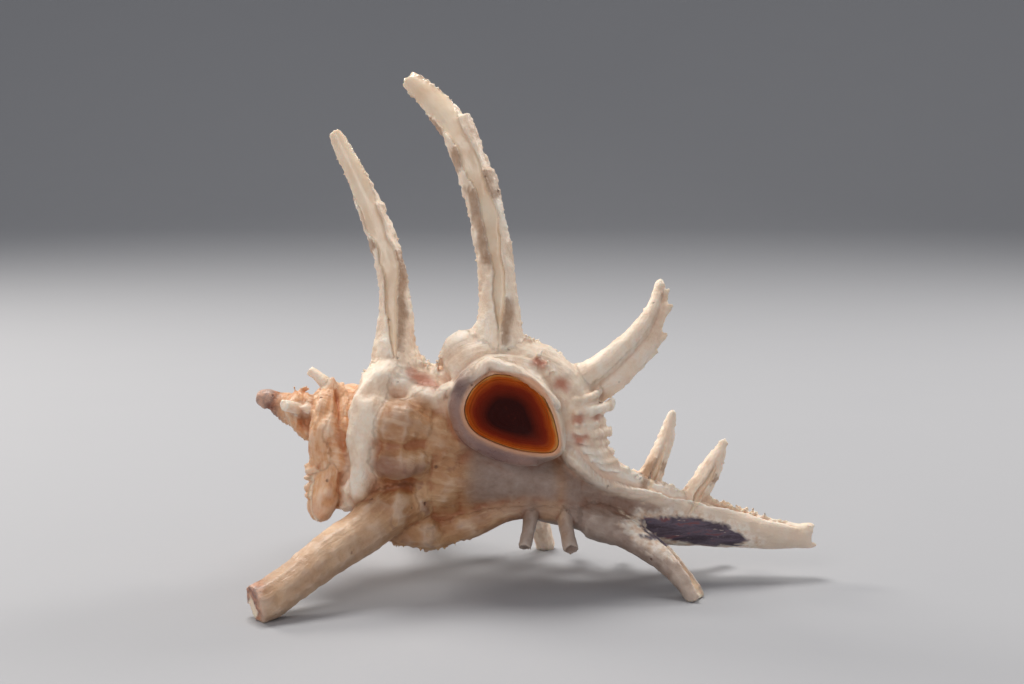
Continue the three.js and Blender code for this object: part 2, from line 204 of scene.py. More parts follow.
class Rod:
    """A spine, rib or fork: a section that runs along a smooth route.

    stops are (x, y, z, radius). face is the way its groove opens. flat squeezes the section along face.
    groove lists (share of the length, sideways shift, half width) and depth is how far it is sunk.
    scales is the height of the small scales along its edges, cords that of the threads on its back.
    stains lists (side, from, to): brown patches of painted shadow cast by the groove's lips beside it, by
    share of the length.
    uneven is how much the radius wanders, as a share of it.
    """

    SCALE_PITCH = 0.95  # from one small scale along an edge to the next
    THREADS_ROUND = 9
    GROWTH_STEP = 6.0  # how far below its edge a growth step dies away
    GROOVE_EDGE = 0.22  # how high a groove's edges are raised
    RAGGED_END = 0.9

    def __init__(self, stops, face=FACE_TOP, flat=1.0, groove=(), depth=0.0, scales=0.0, cords=0.0,
                 tip="broken", steps=(), stains=(), uneven=0.05, tone="tan", seed=0, step=0.4):
        run = spline(stops, step)
        self.points, self.radii = run[:, :3], np.maximum(run[:, 3], 0.15)
        self.along = unit(np.gradient(self.points, axis=0))
        face = np.array(face, float)
        self.front = unit(face - self.along * (self.along @ face)[:, None])
        self.side = np.cross(self.along, self.front)
        lengths = np.linalg.norm(np.diff(self.points, axis=0), axis=1)
        self.reach = np.concatenate([[0], np.cumsum(lengths)])
        self.length = self.reach[-1]
        self.flat, self.depth, self.scales, self.cords = flat, depth, scales, cords
        self.tip, self.steps, self.stains, self.uneven = tip, steps, stains, uneven
        self.tone, self.seed = tone, seed
        self.groove = np.array(groove, float) if len(groove) else None

    def groove_at(self, share):
        """Sideways shift and left and right half widths of the groove."""
        shift = np.interp(share, self.groove[:, 0], self.groove[:, 1])
        width = np.interp(share, self.groove[:, 0], self.groove[:, 2])
        along = share * self.length
        rough = np.minimum(width, 1.0) * 0.42
        waves = [grain_line(along, size, self.seed + i) for i, size in enumerate((2.6, 0.9, 3.1, 1.0), 1)]
        left = width + rough * (waves[0] + 0.5 * waves[1])
        right = width + rough * (waves[2] + 0.5 * waves[3])
        return shift, np.maximum(left, 0), np.maximum(right, 0)

    def rings(self, sides):
        """Rings of points, root first: an array of (rings, sides, 3)."""
        angle = np.linspace(0, 2 * math.pi, sides, endpoint=False)
        share = (self.reach / self.length)[:, None]
        reach = self.reach[:, None]
        around = np.stack([
            np.repeat(self.reach, sides), np.tile(np.cos(angle) * 3, len(self.reach)),
            np.tile(np.sin(angle) * 3, len(self.reach)) + 9 * self.seed,
        ], 1)
        wander = grain(around, 3.2, self.seed + 5) + 0.5 * grain(around, 1.4, self.seed + 6)
        radius = self.radii[:, None] * (1 + self.uneven * wander.reshape(-1, sides))
        lateral = np.abs(np.sin(angle))
        behind = ease(0.35, -0.25, np.cos(angle))
        edge = np.clip(lateral**2 + 0.35 * behind, 0, 1) * ease(0.55, 0.05, np.cos(angle) * (1 - lateral**6))
        if self.scales:
            flat_reach = np.repeat(self.reach, sides)
            turn = np.tile(angle * 1.1, len(self.reach))
            spots = np.stack([flat_reach, turn * 3, turn * 0 + self.seed], 1)
            saw = (flat_reach / self.SCALE_PITCH + 0.35 * grain(spots, 2.5, self.seed)) % 1.0
            rough = 0.55 * (saw - 0.4) + 0.7 * grain(spots, 0.75, self.seed + 7)
            radius += self.scales * edge * rough.reshape(radius.shape)
        if self.cords:
            radius += self.cords * behind * np.cos(angle * self.THREADS_ROUND)
        for place, turn, size in self.steps:
            below = (place * self.length - reach) / self.GROWTH_STEP
            jut = np.where((below > 0) & (below < 1), (1 - below) ** 1.5, 0) * size
            radius += jut * np.clip(np.sin(angle) * turn, 0, 1) ** 2
        if self.tip == "round":
            left = np.clip((self.length - reach) / (self.radii[-1] * 1.6), 0, 1)
            radius *= np.sqrt(np.clip(1 - (1 - left) ** 2, 0.004, 1))
        x = radius * np.sin(angle)
        y = radius * np.cos(angle) * self.flat
        if self.groove is not None:
            shift, left, right = self.groove_at(share[:, 0])
            off = x - shift[:, None]
            inside = np.where(off < 0, left[:, None] + off, right[:, None] - off)
            sink = ease(-0.12, 0.3, inside) * (np.cos(angle) > 0)
            room = ease(0.0, 0.5, np.minimum(left, right))[:, None]
            depth = self.depth * self.radii[:, None] * (0.35 + 0.65 * room)
            rounded = np.clip(1 - (off / (np.maximum(left, right)[:, None] + 0.3)) ** 2, 0, 1)
            y = y - sink * depth * (0.55 + 0.45 * rounded)
            y = y + self.GROOVE_EDGE * hill(inside, -0.25, 0.35) * (np.cos(angle) > 0) * room
        rings = self.points[:, None] + self.front[:, None] * y[..., None] + self.side[:, None] * x[..., None]
        if self.tip == "broken":
            ragged = self.RAGGED_END * grain_line(np.arange(sides), 2.2, self.seed + 11)
            ragged = ragged * min(1.0, self.radii[-1] / 1.5)
            near = ease(self.length - 2.5, self.length, reach)
            rings = rings + self.along[:, None] * (near * ragged)[..., None]
        return rings

    def near(self, points):
        """The points round this rod, their distance over its radius and the nearest step of its route."""
        room = self.radii.max() * 2.0
        boxed = np.all((points > self.points.min(0) - room) & (points < self.points.max(0) + room), axis=1)
        chosen = np.flatnonzero(boxed)
        points = points[chosen]
        best = np.full(len(points), 1e9)
        where = np.zeros(len(points), int)
        for i in range(0, len(self.points), 2):
            off = points - self.points[i]
            far = np.einsum("ij,ij->i", off, off)
            closer = far < best
            best[closer] = far[closer]
            where[closer] = i
        return chosen, np.sqrt(best) / self.radii[where], where


class Heap:
    """Closed bodies, each modelled in a small mesh of its own and joined at the end."""

    def __init__(self):
        self.meshes = []

    def take(self, bm):
        mesh = bpy.data.meshes.new("part")
        bm.to_mesh(mesh)
        bm.free()
        self.meshes.append(mesh)

    def object(self, name):
        bm = bmesh.new()
        for mesh in self.meshes:
            bm.from_mesh(mesh)
            bpy.data.meshes.remove(mesh)
        return new_object(name, bm)


def sweep(heap, rings):
    """Extrudes one ring of points after another, from a circle with its face, and leaves a closed body."""
    bm = bmesh.new()
    made = bmesh.ops.create_circle(bm, cap_ends=True, radius=1.0, segments=rings.shape[1])
    face = made["verts"][0].link_faces[0]
    loop = list(face.verts)
    for vert, place in zip(loop, rings[0]):
        vert.co = place
    for number, points in enumerate(rings[1:]):
        grown = bmesh.ops.extrude_face_region(bm, geom=[face])
        if number > 0:
            bm.faces.remove(face)
        face = next(g for g in grown["geom"] if isinstance(g, bmesh.types.BMFace))
        fresh = list(face.verts)
        turn = min(range(len(fresh)), key=lambda k: (fresh[k].co - loop[0].co).length_squared)
        loop = fresh[turn:] + fresh[:turn]
        for vert, place in zip(loop, points):
            vert.co = place
    bmesh.ops.recalc_face_normals(bm, faces=bm.faces)
    heap.take(bm)


# The driving routes. Tall spines first: newest rib, then the rib one turn older.
SHOULDER_SPINE = Rod(
    [
        (-2.3, -3.5, 36.5, 6.2), (-2.2, -3, 42, 4.1), (-2.2, -2, 48, 3.05), (-3.4, 0, 57.4, 2.9),
        (-5.7, 2, 66.6, 2.8), (-9, 4.5, 74.6, 2.45), (-13.2, 7.5, 79.7, 2.05), (-17.3, 9.8, 83.3, 1.5),
    ],
    groove=[(0, 0.2, 0), (0.05, 0.25, 0.12), (0.12, 0.2, 0.3), (0.22, 0.2, 0.95), (0.34, 0.5, 0.85),
            (0.46, 0.6, 1.3), (0.55, 0.3, 1.15), (0.63, 0, 1.5), (0.72, -0.2, 1.15), (0.78, -0.2, 1.5),
            (0.84, 0, 2.2), (1, 0, 2)],
    depth=0.27, scales=0.42, cords=0.1, steps=[(0.6, 1, 0.6), (0.78, 1, 0.9)],
    stains=[(-1, 0.3, 0.57), (1, 0.5, 0.6), (1, 0.07, 0.22), (-1, 0.62, 0.7), (-1, 0.76, 0.97)],
    tone="white", seed=3, step=0.3,
)
TALL_SPINE = Rod(
    [
        (-18.8, -1.5, 33, 6.0), (-19.2, -0.5, 39.6, 3.5), (-19.3, 1, 46, 2.6), (-20.2, 2.4, 52.5, 2.35),
        (-22.4, 4.4, 59, 2.2), (-25.9, 6.6, 67, 1.65), (-29.9, 9, 74.5, 1.15),
    ],
    groove=[(0, 0.1, 0), (0.08, 0.1, 0.1), (0.14, 0, 0.45), (0.24, -0.3, 1.05), (0.38, -0.2, 1.2),
            (0.52, 0, 1.2), (0.6, -0.2, 1.65), (0.68, -0.1, 1.4), (0.75, 0, 2), (1, 0, 2)],
    depth=0.27, scales=0.36, cords=0.1, steps=[(0.68, 1, 0.4)],
    stains=[(1, 0.12, 0.5), (-1, 0.5, 0.58), (-1, 0.72, 0.98)], tone="white", seed=21, step=0.3,
)
MIDDLE_SPINE = Rod(
    [
        (8, -3.4, 32.6, 3.2), (13.6, -2.6, 35.8, 2.2), (17.4, -1.6, 38.7, 1.8), (20.8, -0.4, 41.9, 1.5),
        (23.4, 1.2, 45.6, 1.05), (24.9, 3.6, 50.3, 0.7),
    ],
    scales=0.22, cords=0.05, tip="round", tone="white", seed=31,
)
MIDDLE_BLADE = Rod(
    [
        (9.5, -2.8, 29.6, 2.6), (14.4, -2.4, 33, 2.5), (18.6, -1.4, 36.2, 2.35), (22.4, 0, 40.6, 1.8),
        (24.7, 1.6, 45.2, 1.2), (25.2, 3.4, 49.2, 0.6),
    ],
    flat=0.32, scales=0.4, tip="round", tone="white", seed=37,
)
CANAL_SPINES = (
    Rod([(21.2, -1, 13, 3.2), (23.8, 0, 18.8, 1.8), (25.6, 1, 23, 1.5), (27.1, 2, 28.4, 0.5)], flat=0.8,
        groove=[(0, 0, 0.1), (0.25, 0.3, 0.5), (0.45, 0.2, 0.5), (0.6, 0, 0.2), (0.8, 0, 0), (1, 0, 0)],
        depth=0.4, scales=0.3, cords=0.06, stains=[(-1, 0.1, 0.5), (1, 0.35, 0.5)], tip="round",
        tone="white", seed=41),
    Rod([(28.8, -0.5, 10.6, 3), (31.4, 0, 15.4, 2), (33.6, 1, 18.8, 1.7), (36, 2, 23.6, 0.4)], flat=0.7,
        groove=[(0, 0, 0.1), (0.25, 0.3, 0.5), (0.5, 0.4, 0.6), (0.65, 0.3, 0.3), (0.8, 0, 0), (1, 0, 0)],
        depth=0.35, scales=0.55, cords=0.06, stains=[(1, 0.45, 0.6)], tip="round", tone="white", seed=43),
)
FRONT_LEG = Rod(
    [
        (-17, -7, 16, 4.6), (-23.5, -11.5, 11.2, 3.8), (-29, -16, 8.4, 3.4), (-34, -20.4, 5.3, 3.15),
        (-38, -23.6, 3.1, 3.2), (-39.8, -24.8, 2.6, 3.1),
    ],
    face=FACE_BELOW, groove=[(0, 0, 0), (0.2, 0, 0.3), (0.4, 0.2, 0.9), (0.7, 0, 1.2), (1, 0, 1.5)],
    depth=0.4, scales=0.14, cords=0.06, tone="tan", seed=51,
)
CANAL_FORK = Rod(
    [(13, -4.4, 11.2, 4.2), (19.4, -6.4, 8.8, 3.3), (24.6, -9.6, 5.8, 2.6), (27.6, -11.8, 3, 2.2),
     (29.8, -13.5, 0.2, 2.1)],
    face=(0.75, -0.2, 0.6), flat=0.75, groove=[(0, 0, 0), (0.5, 0, 0.3), (0.7, 0, 1.0), (1, 0, 1.3)],
    depth=0.5, scales=0.06, tone="grey", seed=53,
)
REAR_LEG = Rod(
    [
        (-14.6, 12, 19.5, 4), (-16.2, 19, 17.4, 3.2), (-19, 26, 13.4, 2.8), (-22.6, 32, 7.4, 2.5),
        (-25.3, 35.2, 0.2, 2.2),
    ],
    face=FACE_REAR,
    groove=[(0, 0, 0), (0.15, 0, 0.2), (0.3, 0, 0.9), (0.6, 0, 1.1), (0.8, 0, 1.5), (1, 0, 1.7)],
    depth=0.42, scales=0.36, cords=0.1, tone="white", seed=57,
)
MIDDLE_LEG = Rod(
    [(-3.5, 10, 16, 2.8), (0.5, 13.6, 11.6, 2.1), (4.2, 16.6, 6.2, 1.8), (6.1, 18.8, 0.2, 1.6)],
    face=FACE_REAR, groove=[(0, 0, 0), (0.25, 0, 0.3), (0.5, 0, 0.8), (1, 0, 1.1)],
    depth=0.42, scales=0.3, cords=0.08, tone="white", seed=59,
)
KNOB_SPINE = Rod(
    [(-29.6, -4, 22.5, 3.2), (-30.1, -7, 18.2, 2.5), (-30.9, -9, 14.6, 2.4), (-31.4, -10, 11.9, 2.0)],
    face=(-0.7, -0.7, 0), groove=[(0, 0, 0), (0.4, 0, 0.1), (0.6, 0, 0.3), (1, 0, 0.5)], depth=0.3,
    scales=0.08, cords=0.03, tip="round", tone="salmon", seed=61,
)
STUBS = (
    Rod([(3.4, -5, 15.5, 1.7), (2.9, -9, 11.5, 1.15), (2, -12, 8.1, 1.05)], tone="grey", seed=63,
        scales=0.06),
    Rod([(8.2, -5, 15, 1.8), (8.8, -8.4, 11, 1.25), (9.5, -11.2, 7.7, 1.2)], tone="grey", seed=65,
        scales=0.06),
    Rod([(9, 6, 12.5, 1.5), (9.8, 9.4, 10, 1.2), (10.2, 12.4, 6.4, 0.8)], face=FACE_REAR, tone="white",
        seed=67, scales=0.2, groove=[(0, 0, 0), (0.3, 0, 0.3), (1, 0, 0.6)], depth=0.4),
    Rod([(16, 4, 11, 1.4), (17.2, 7.4, 8.8, 1.1), (18, 10.2, 5.8, 0.7)], face=FACE_REAR, tone="white",
        seed=69, scales=0.2, groove=[(0, 0, 0), (0.3, 0, 0.3), (1, 0, 0.6)], depth=0.4),
    Rod([(25, 2.6, 9, 2), (31, 4.8, 7.2, 1.6), (36.4, 8, 5, 1.2)], face=FACE_REAR, tone="grey", seed=71,
        scales=0.15, groove=[(0, 0, 0), (0.4, 0, 0.3), (1, 0, 0.9)], depth=0.45),
    Rod([(-29.5, -1, 31.5, 1.7), (-31.5, -0.5, 33.8, 1.05), (-33.7, 0, 35.3, 0.85)], tone="white", seed=73,
        scales=0.05),
    Rod([(-34, -2, 29, 1.5), (-35.5, -5, 30, 1.05), (-37.1, -6.9, 30.7, 0.95)], face=(0, -0.8, 0.2),
        tone="white", seed=75, scales=0.05),
    Rod([(-28.5, 3, 25, 3), (-30, 9, 26, 2), (-32.4, 14.8, 27, 1.5)], face=FACE_REAR, tone="salmon",
        seed=77, scales=0.2, cords=0.06, groove=[(0, 0, 0), (0.4, 0, 0.3), (1, 0, 0.8)], depth=0.4),
    Rod([(-33.8, 2.5, 28.6, 1.3), (-35.2, 5.6, 29.4, 0.9)], face=FACE_REAR, tone="salmon", seed=79),
)

# Ribs: low and broad, they run along the body from spine to spine.
WING = Rod(
    [
        (-9, -4, 34.5, 3.8), (-5, -4.5, 37.2, 4.5), (1.5, -4.5, 36.5, 4.4), (7.4, -4, 33.4, 4.4),
        (10.6, -4, 28.6, 4.3), (11.4, -4, 23.6, 4.1), (15, -3, 18.8, 3.3), (21, -2, 15.4, 2.7),
        (28, -1, 13, 2.1), (35, -0.5, 11.2, 1.5), (43, 0, 8.8, 1),
    ],
    tone="white",
)
REAR_RIB = Rod(
    [
        (-21, 11, 27, 1.4), (-16, 14.2, 21, 2.8), (-8, 14, 15.5, 2.6), (-1, 11, 13.6, 2.3),
        (6, 8, 13, 2), (14, 5, 11.5, 2), (23, 3.2, 9.8, 1.8), (31, 2.4, 8.2, 1.4),
    ],
    tone="white",
)
FRONT_RIB = Rod(
    [
        (-24, -8, 17, 2.4), (-18.5, -8, 11.2, 3), (-12, -6.5, 9.6, 2.6), (-6, -6, 11.2, 2.4),
        (1, -6.5, 13.6, 2), (8, -6.2, 12.8, 2), (15, -6, 10.6, 2.2), (21, -6.5, 8.6, 2.4),
    ],
    tone="tan",
)
TALL_RIB = Rod([(-22.6, -4, 32.5, 2.6), (-19.2, -2.4, 33.6, 4.6), (-14.4, -3, 33, 3.8), (-10.6, -5, 31, 2.8)],
               tone="white")
CREST = Rod(
    [
        (-12.2, -6.8, 31.8, 0.9), (-11, -8, 33, 1.1), (-9.2, -9.6, 34.4, 1.0), (-7.3, -10.8, 35.4, 1.0),
        (-5.1, -11.4, 36.8, 0.95), (-3.7, -11.6, 38.2, 0.9), (-2, -11.6, 37.7, 0.9), (0.6, -11.6, 37, 0.9),
        (2.9, -11.6, 35.6, 0.85), (5.3, -11.2, 33.6, 0.8), (6.4, -10.8, 32.4, 0.7), (7.8, -10.2, 30.8, 0.5),
    ],
    flat=1.7, tone="white", scales=0.3, uneven=0.16, seed=81, tip="round", step=0.3,
)
CANAL = Rod(
    [
        (-21, -0.5, 22, 10.4), (-13, -1, 20.4, 11.4), (-5, -2, 19.6, 8.6), (3, -2.5, 17.8, 6.8),
        (9, -2, 15.4, 6), (15, -1.5, 12.8, 5.2), (22, -1, 10.8, 4.6), (29, -0.5, 9.6, 4),
        (36, 0, 8.6, 3.5), (43, 0, 7.6, 2.7), (50.6, 0, 7, 1.9),
    ],
    flat=0.85, tone="grey",
)
SPIRE_CORE = Rod([(-42.4, 0, 31, 1.4), (-38, 0, 29.6, 2.4), (-32, 0, 27.8, 3.6), (-20, -1, 23, 8)],
                 tone="salmon")
FLANGE = Rod([(-24.6, -5, 25, 1.8), (-25.8, -6, 19.6, 2.2), (-25.8, -7.6, 14.4, 2.3)], flat=0.5, tone="white",
             face=(-0.6, -0.8, 0))

OLD_LIP = Rod(
    [
        (-19.4, -3.2, 36.6, 2.4), (-21.6, -5.2, 34.4, 2.6), (-23, -7.2, 31.4, 2.6), (-23.4, -8.6, 27.8, 2.7),
        (-24, -9, 23.7, 2.7), (-23.8, -8.8, 20.6, 2.8), (-24.9, -8.4, 17.8, 3.0), (-25.6, -8, 15, 2.8),
        (-25.8, -7.8, 12.9, 1.8),
    ], tone="white", scales=0.45, uneven=0.28, seed=91, tip="round",
)
SPIRE_LIPS = (
    Rod([(-29.4, 0, 32.8, 1.9), (-30.6, -2.8, 30.8, 2.1), (-31.2, -4.8, 27.6, 2.2), (-31.6, -5.6, 24.4, 2.2),
         (-31, -6.4, 20.6, 2.4)], tone="salmon", scales=0.35, uneven=0.25, seed=93, tip="round"),
    Rod([(-36, 0, 31.2, 1.1), (-36.4, -2.2, 29.8, 1.3), (-35.8, -3.4, 27.6, 1.4), (-34.8, -3.4, 25.4, 1.2)],
        tone="salmon", scales=0.2, uneven=0.2, seed=95, tip="round"),
)

SPINES = (SHOULDER_SPINE, TALL_SPINE, MIDDLE_SPINE, MIDDLE_BLADE, *CANAL_SPINES, FRONT_LEG, CANAL_FORK,
          REAR_LEG, MIDDLE_LEG, KNOB_SPINE, *STUBS)
RIBS = (WING, REAR_RIB, FRONT_RIB, TALL_RIB, SPIRE_CORE, FLANGE, OLD_LIP, *SPIRE_LIPS)

# Knobs between the ribs: x, y, z and half sizes.
KNOBS = (
    (-18, -7.8, 27.8, 5.2, 5.6, 4.2), (-18.2, -8.4, 22, 5.4, 5.8, 3.8), (-10.8, -7.8, 25.4, 4.6, 3.2, 5),
    (-19.8, -8.2, 29.4, 2.2, 3.8, 2), (-16.2, -8.8, 22.8, 2.6, 4, 2.2), (-13.4, -6.6, 31.6, 4, 2.8, 2.6),
    (-7.6, -3.6, 38.2, 4.0, 3.4, 4.6), (4.6, -4.4, 37.4, 3.6, 3.0, 3.2),
    (-12, 11, 27, 4.6, 4, 4.6), (-9, 7.5, 32.5, 5, 4, 4.2), (-28.4, -5.2, 26.2, 2.6, 2.2, 2.8),
    (-27.2, -6.4, 21.6, 2.6, 2.4, 2.8), (-33.4, -2.6, 25.6, 2.0, 1.8, 2.2), (-27.4, 6.8, 29.4, 2.8, 2.4, 2.6),
    (12.6, -4.6, 27.4, 2.9, 2.4, 5.2),
)


# ---------------------------------------------------------------- the body


def coil_rings(sides):
    """Rings of the growing whorls, oldest first."""
    turned = 360 * TURNS
    angle = np.linspace(LIP_ANGLE - turned, LIP_ANGLE, int(turned / 4))
    size = GROWTH ** ((angle - LIP_ANGLE) / 360)
    since = (angle - LIP_ANGLE) % RIB_SPACING
    swell = 1 + 0.1 * np.exp(-((np.minimum(since, RIB_SPACING - since) / 13) ** 2))
    out = np.cos(np.radians(angle))[:, None] * ACROSS + np.sin(np.radians(angle))[:, None] * FRONT
    centre = SPIRE_TIP + AXIS * (LIP_ALONG * size)[:, None] + out * (LIP_OFFSET * size)[:, None]
    turn = np.linspace(0, 2 * math.pi, sides, endpoint=False)
    shoulder = 1 + 0.06 * np.exp(-(((turn - math.radians(65)) / 0.5) ** 2))
    radial = (WHORL_RADIUS * size * swell)[:, None] * shoulder * np.cos(turn - math.pi / 2)
    axial = (WHORL_RADIUS * WHORL_STRETCH * size * swell)[:, None] * np.sin(turn - math.pi / 2)
    return centre[:, None] + out[:, None] * radial[..., None] + AXIS * axial[..., None]


def whorl_place(points):
    """Where on the whorls each point lies: growth angle, turn round the section and distance over radius."""
    from_tip = points - SPIRE_TIP
    along, up, ahead = from_tip @ AXIS, from_tip @ ACROSS, from_tip @ FRONT
    radius = np.hypot(up, ahead)
    round_axis = np.degrees(np.arctan2(ahead, up))
    best = np.full(len(points), 1e9)
    growth = np.zeros(len(points))
    section = np.zeros(len(points))
    for turn in range(-math.ceil(TURNS), 1):
        angle = round_axis + 360 * turn
        size = GROWTH ** ((angle - LIP_ANGLE) / 360)
        a = (along - LIP_ALONG * size) / (WHORL_RADIUS * WHORL_STRETCH * size)
        r = (radius - LIP_OFFSET * size) / (WHORL_RADIUS * size)
        far = np.hypot(a, r)
        ok = (far < best) & (angle <= LIP_ANGLE + 8)
        best[ok], growth[ok], section[ok] = far[ok], angle[ok], np.arctan2(r, -a)[ok]
    return growth, section, best


def mouth_ring(margin, back):
    """The aperture's outline grown by margin, back behind its plane."""
    ring = closed_outline(MOUTH_OUTLINE, MOUTH_POINTS)
    ring = ring + unit(ring) * np.reshape(margin, (-1, 1))
    return MOUTH_CENTRE + np.stack([ring[:, 0], np.zeros(MOUTH_POINTS) + back, ring[:, 1]], 1)


def add_lump(bm, x, y, z, half_x, half_y, half_z):
    place = Matrix.Translation((x, y, z)) @ Matrix.Diagonal((half_x, half_y, half_z, 1))
    bmesh.ops.create_uvsphere(bm, u_segments=24, v_segments=14, radius=1.0, matrix=place)


def add_scale(bm, place, outward, width, length, thin, across=None, blunt=0.45):
    """One small scale: a flattened, blunt cone rooted a little below place that reaches length outward.

    thin is how flat it is, across the way it stays broad and blunt its end's share of width.
    """
    outward = Vector(outward).normalized()
    turn = outward.to_track_quat("Z", "Y").to_matrix().to_4x4()
    if across is not None:
        flat = Vector(across) - outward * outward.dot(Vector(across))
        flat.normalize()
        turn = Matrix((flat, outward.cross(flat), outward)).transposed().to_4x4()
    middle = Matrix.Translation(Vector(place) + outward * length * 0.3)
    matrix = middle @ turn @ Matrix.Diagonal((1, thin, 1, 1))
    bmesh.ops.create_cone(bm, cap_ends=True, segments=10, radius1=width, radius2=width * blunt,
                          depth=length * 1.4, matrix=matrix)


def scale_row(heap, rng, route, outward, spacing, size, stout):
    """A row of scales of uneven size along a route, with a gap here and there."""
    bm = bmesh.new()
    run = spline(route, spacing)
    for point in run:
        if rng.random() < 0.12:
            continue
        grow = rng.uniform(0.6, 1.35)
        place = point + rng.normal(0, 0.18, 3)
        way = np.array(outward(point) if callable(outward) else outward) + rng.normal(0, 0.22, 3)
        add_scale(bm, place, way, stout * size * rng.uniform(0.5, 0.8), size * grow, rng.uniform(0.5, 0.8))
    heap.take(bm)


def from_axis(point):
    """Straight out from the coiling axis."""
    from_tip = point - SPIRE_TIP
    return unit(from_tip - AXIS * (from_tip @ AXIS))


# ---------------------------------------------------------------- mesh steps


def new_object(name, bm):
    mesh = bpy.data.meshes.new(name)
    bm.to_mesh(mesh)
    bm.free()
    piece = bpy.data.objects.new(name, mesh)
    bpy.context.scene.collection.objects.link(piece)
    return piece


def bake_modifiers(piece):
    """Makes the result of the live modifiers the piece's own mesh."""
    ready = piece.evaluated_get(bpy.context.evaluated_depsgraph_get())
    mesh = bpy.data.meshes.new_from_object(ready)
    piece.modifiers.clear()
    old = piece.data
    piece.data = mesh
    bpy.data.meshes.remove(old)


def fuse(piece, voxel):
    """Joins overlapping bodies into one skin."""
    join = piece.modifiers.new("Join", "REMESH")
    join.mode = "VOXEL"
    join.voxel_size = voxel
    join.use_smooth_shade = True
    bake_modifiers(piece)


def relax(piece, times, factor=0.5):
    """Smooths the skin all over."""
    soften = piece.modifiers.new("Soften", "SMOOTH")
    soften.iterations = times
    soften.factor = factor
    bake_modifiers(piece)


def coordinates(mesh, what="co"):
    """The vertices' places, or their normals."""
    values = np.zeros(len(mesh.vertices) * 3, np.float32)
    mesh.vertices.foreach_get(what, values)
    return values.reshape(-1, 3).astype(float)


def set_coordinates(mesh, points):
    mesh.vertices.foreach_set("co", points.astype(np.float32).ravel())
    mesh.update()


def set_mask(mesh, name, values):
    """Stores a share from 0 to 1 at every vertex."""
    attribute = mesh.attributes.get(name) or mesh.attributes.new(name, "FLOAT", "POINT")
    attribute.data.foreach_set("value", np.clip(values, 0, 1).astype(np.float32))


def carve(piece, cutter):
    """Takes the cutter's shape out of the piece."""
    cut = piece.modifiers.new("Carve", "BOOLEAN")
    cut.operation = "DIFFERENCE"
    cut.solver = "MANIFOLD"
    cut.object = cutter
    bake_modifiers(piece)
    bpy.data.objects.remove(cutter)


# How much of a spine flows into the body: a length, and at most this share of the whole.
ROOT_LENGTH = 7.0
ROOT_SHARE = 0.3


def core_mesh():
    """Whorls, canal, ribs, knobs and the roots of the spines, flowed into each other."""
    heap = Heap()
    sweep(heap, coil_rings(BODY_SIDES))
    sweep(heap, CANAL.rings(BODY_SIDES))
    for rib in RIBS:
        sweep(heap, rib.rings(RIB_SIDES))
    lumps = bmesh.new()
    for knob in KNOBS:
        add_lump(lumps, *knob)
    heap.take(lumps)
    for spine in SPINES:
        root = spine.rings(RIB_SIDES)
        count = max(4, int(len(root) * min(ROOT_SHARE, ROOT_LENGTH / spine.length)))
        sweep(heap, root[:count])
    ring = closed_outline(MOUTH_OUTLINE, MOUTH_POINTS)
    turn = np.arctan2(ring[:, 1], ring[:, 0])
    broad = 0.45 + 0.55 * ease(0.3, -0.5, np.cos(turn - COLLAR_NARROW))
    broad = broad * (1 + 0.16 * grain(np.hstack([ring, ring[:, :1] * 0]), 3.0, 23))
    sweep(heap, np.array([mouth_ring(margin * broad, back) for margin, back in COLLAR_STEPS]))
    return heap.object("body")


def plug_mesh():
    """The hollow that holds the operculum."""
    heap = Heap()
    sweep(heap, np.array([mouth_ring(margin, back) for margin, back in HOLLOW_STEPS]))
    return heap.object("hollow")


# Spines with fine scales along their edges, and the size of those scales.
FRINGES = (
    (SHOULDER_SPINE, 0.62), (TALL_SPINE, 0.55), (REAR_LEG, 0.5), (MIDDLE_LEG, 0.45), (CANAL_SPINES[0], 0.4),
    (CANAL_SPINES[1], 0.45), (MIDDLE_SPINE, 0.3),
)


def fringe(heap, rng, rod, size):
    """Fine scales along both edges of a spine, leaning towards its tip."""
    bm = bmesh.new()
    at = 1.5
    while at < rod.length - 1.0:
        i = int(np.searchsorted(rod.reach, at))
        for hand in (-1, 1):
            for turn in (0.0, 0.5, 1.0):
                way = unit(rod.side[i] * hand * math.cos(turn) - rod.front[i] * math.sin(turn))
                lean = way + rod.along[i] * rng.uniform(0.3, 0.9)
                place = rod.points[i] + way * rod.radii[i] * (0.93 if turn < 0.2 else 0.88)
                place = place + rod.along[i] * rng.uniform(-0.3, 0.3)
                if rng.random() < 0.85:
                    add_scale(bm, place, lean, size * 0.5, size * rng.uniform(0.5, 1.2), 0.8)
        at += rng.uniform(0.5, 0.8)
    heap.take(bm)


def add_details(heap):
    """Everything crisp: whole spines, the crest, teeth, frilled edges and the lips of the canal's end."""
    rng = np.random.default_rng(5)
    for spine in SPINES:
        sides = TALL_SPINE_SIDES if spine in (SHOULDER_SPINE, TALL_SPINE) else SPINE_SIDES
        sweep(heap, spine.rings(sides)[1:])
    sweep(heap, CREST.rings(CREST_SIDES))
    add_teeth(heap, rng)
    add_frills(heap, rng)
    for spine, size in FRINGES:
        fringe(heap, rng, spine, size)


# Teeth of the middle spine's lower edge: root, tip and width.
SPINE_TEETH = (
    ((24, 1.3, 44.4), (26.8, 1.6, 46.2), 2.4), ((22.6, 0.5, 39.8), (25.9, 0.9, 41.4), 2.6),
    ((21.2, -0.1, 37.2), (24.2, 0.3, 38.6), 2.0), ((19.6, -0.5, 35.4), (22.2, -0.2, 36.2), 1.6),
    ((17.6, -1, 33.8), (19.8, -0.8, 34.2), 1.4), ((25, 2.4, 47), (26.4, 2.6, 49), 1.2),
)
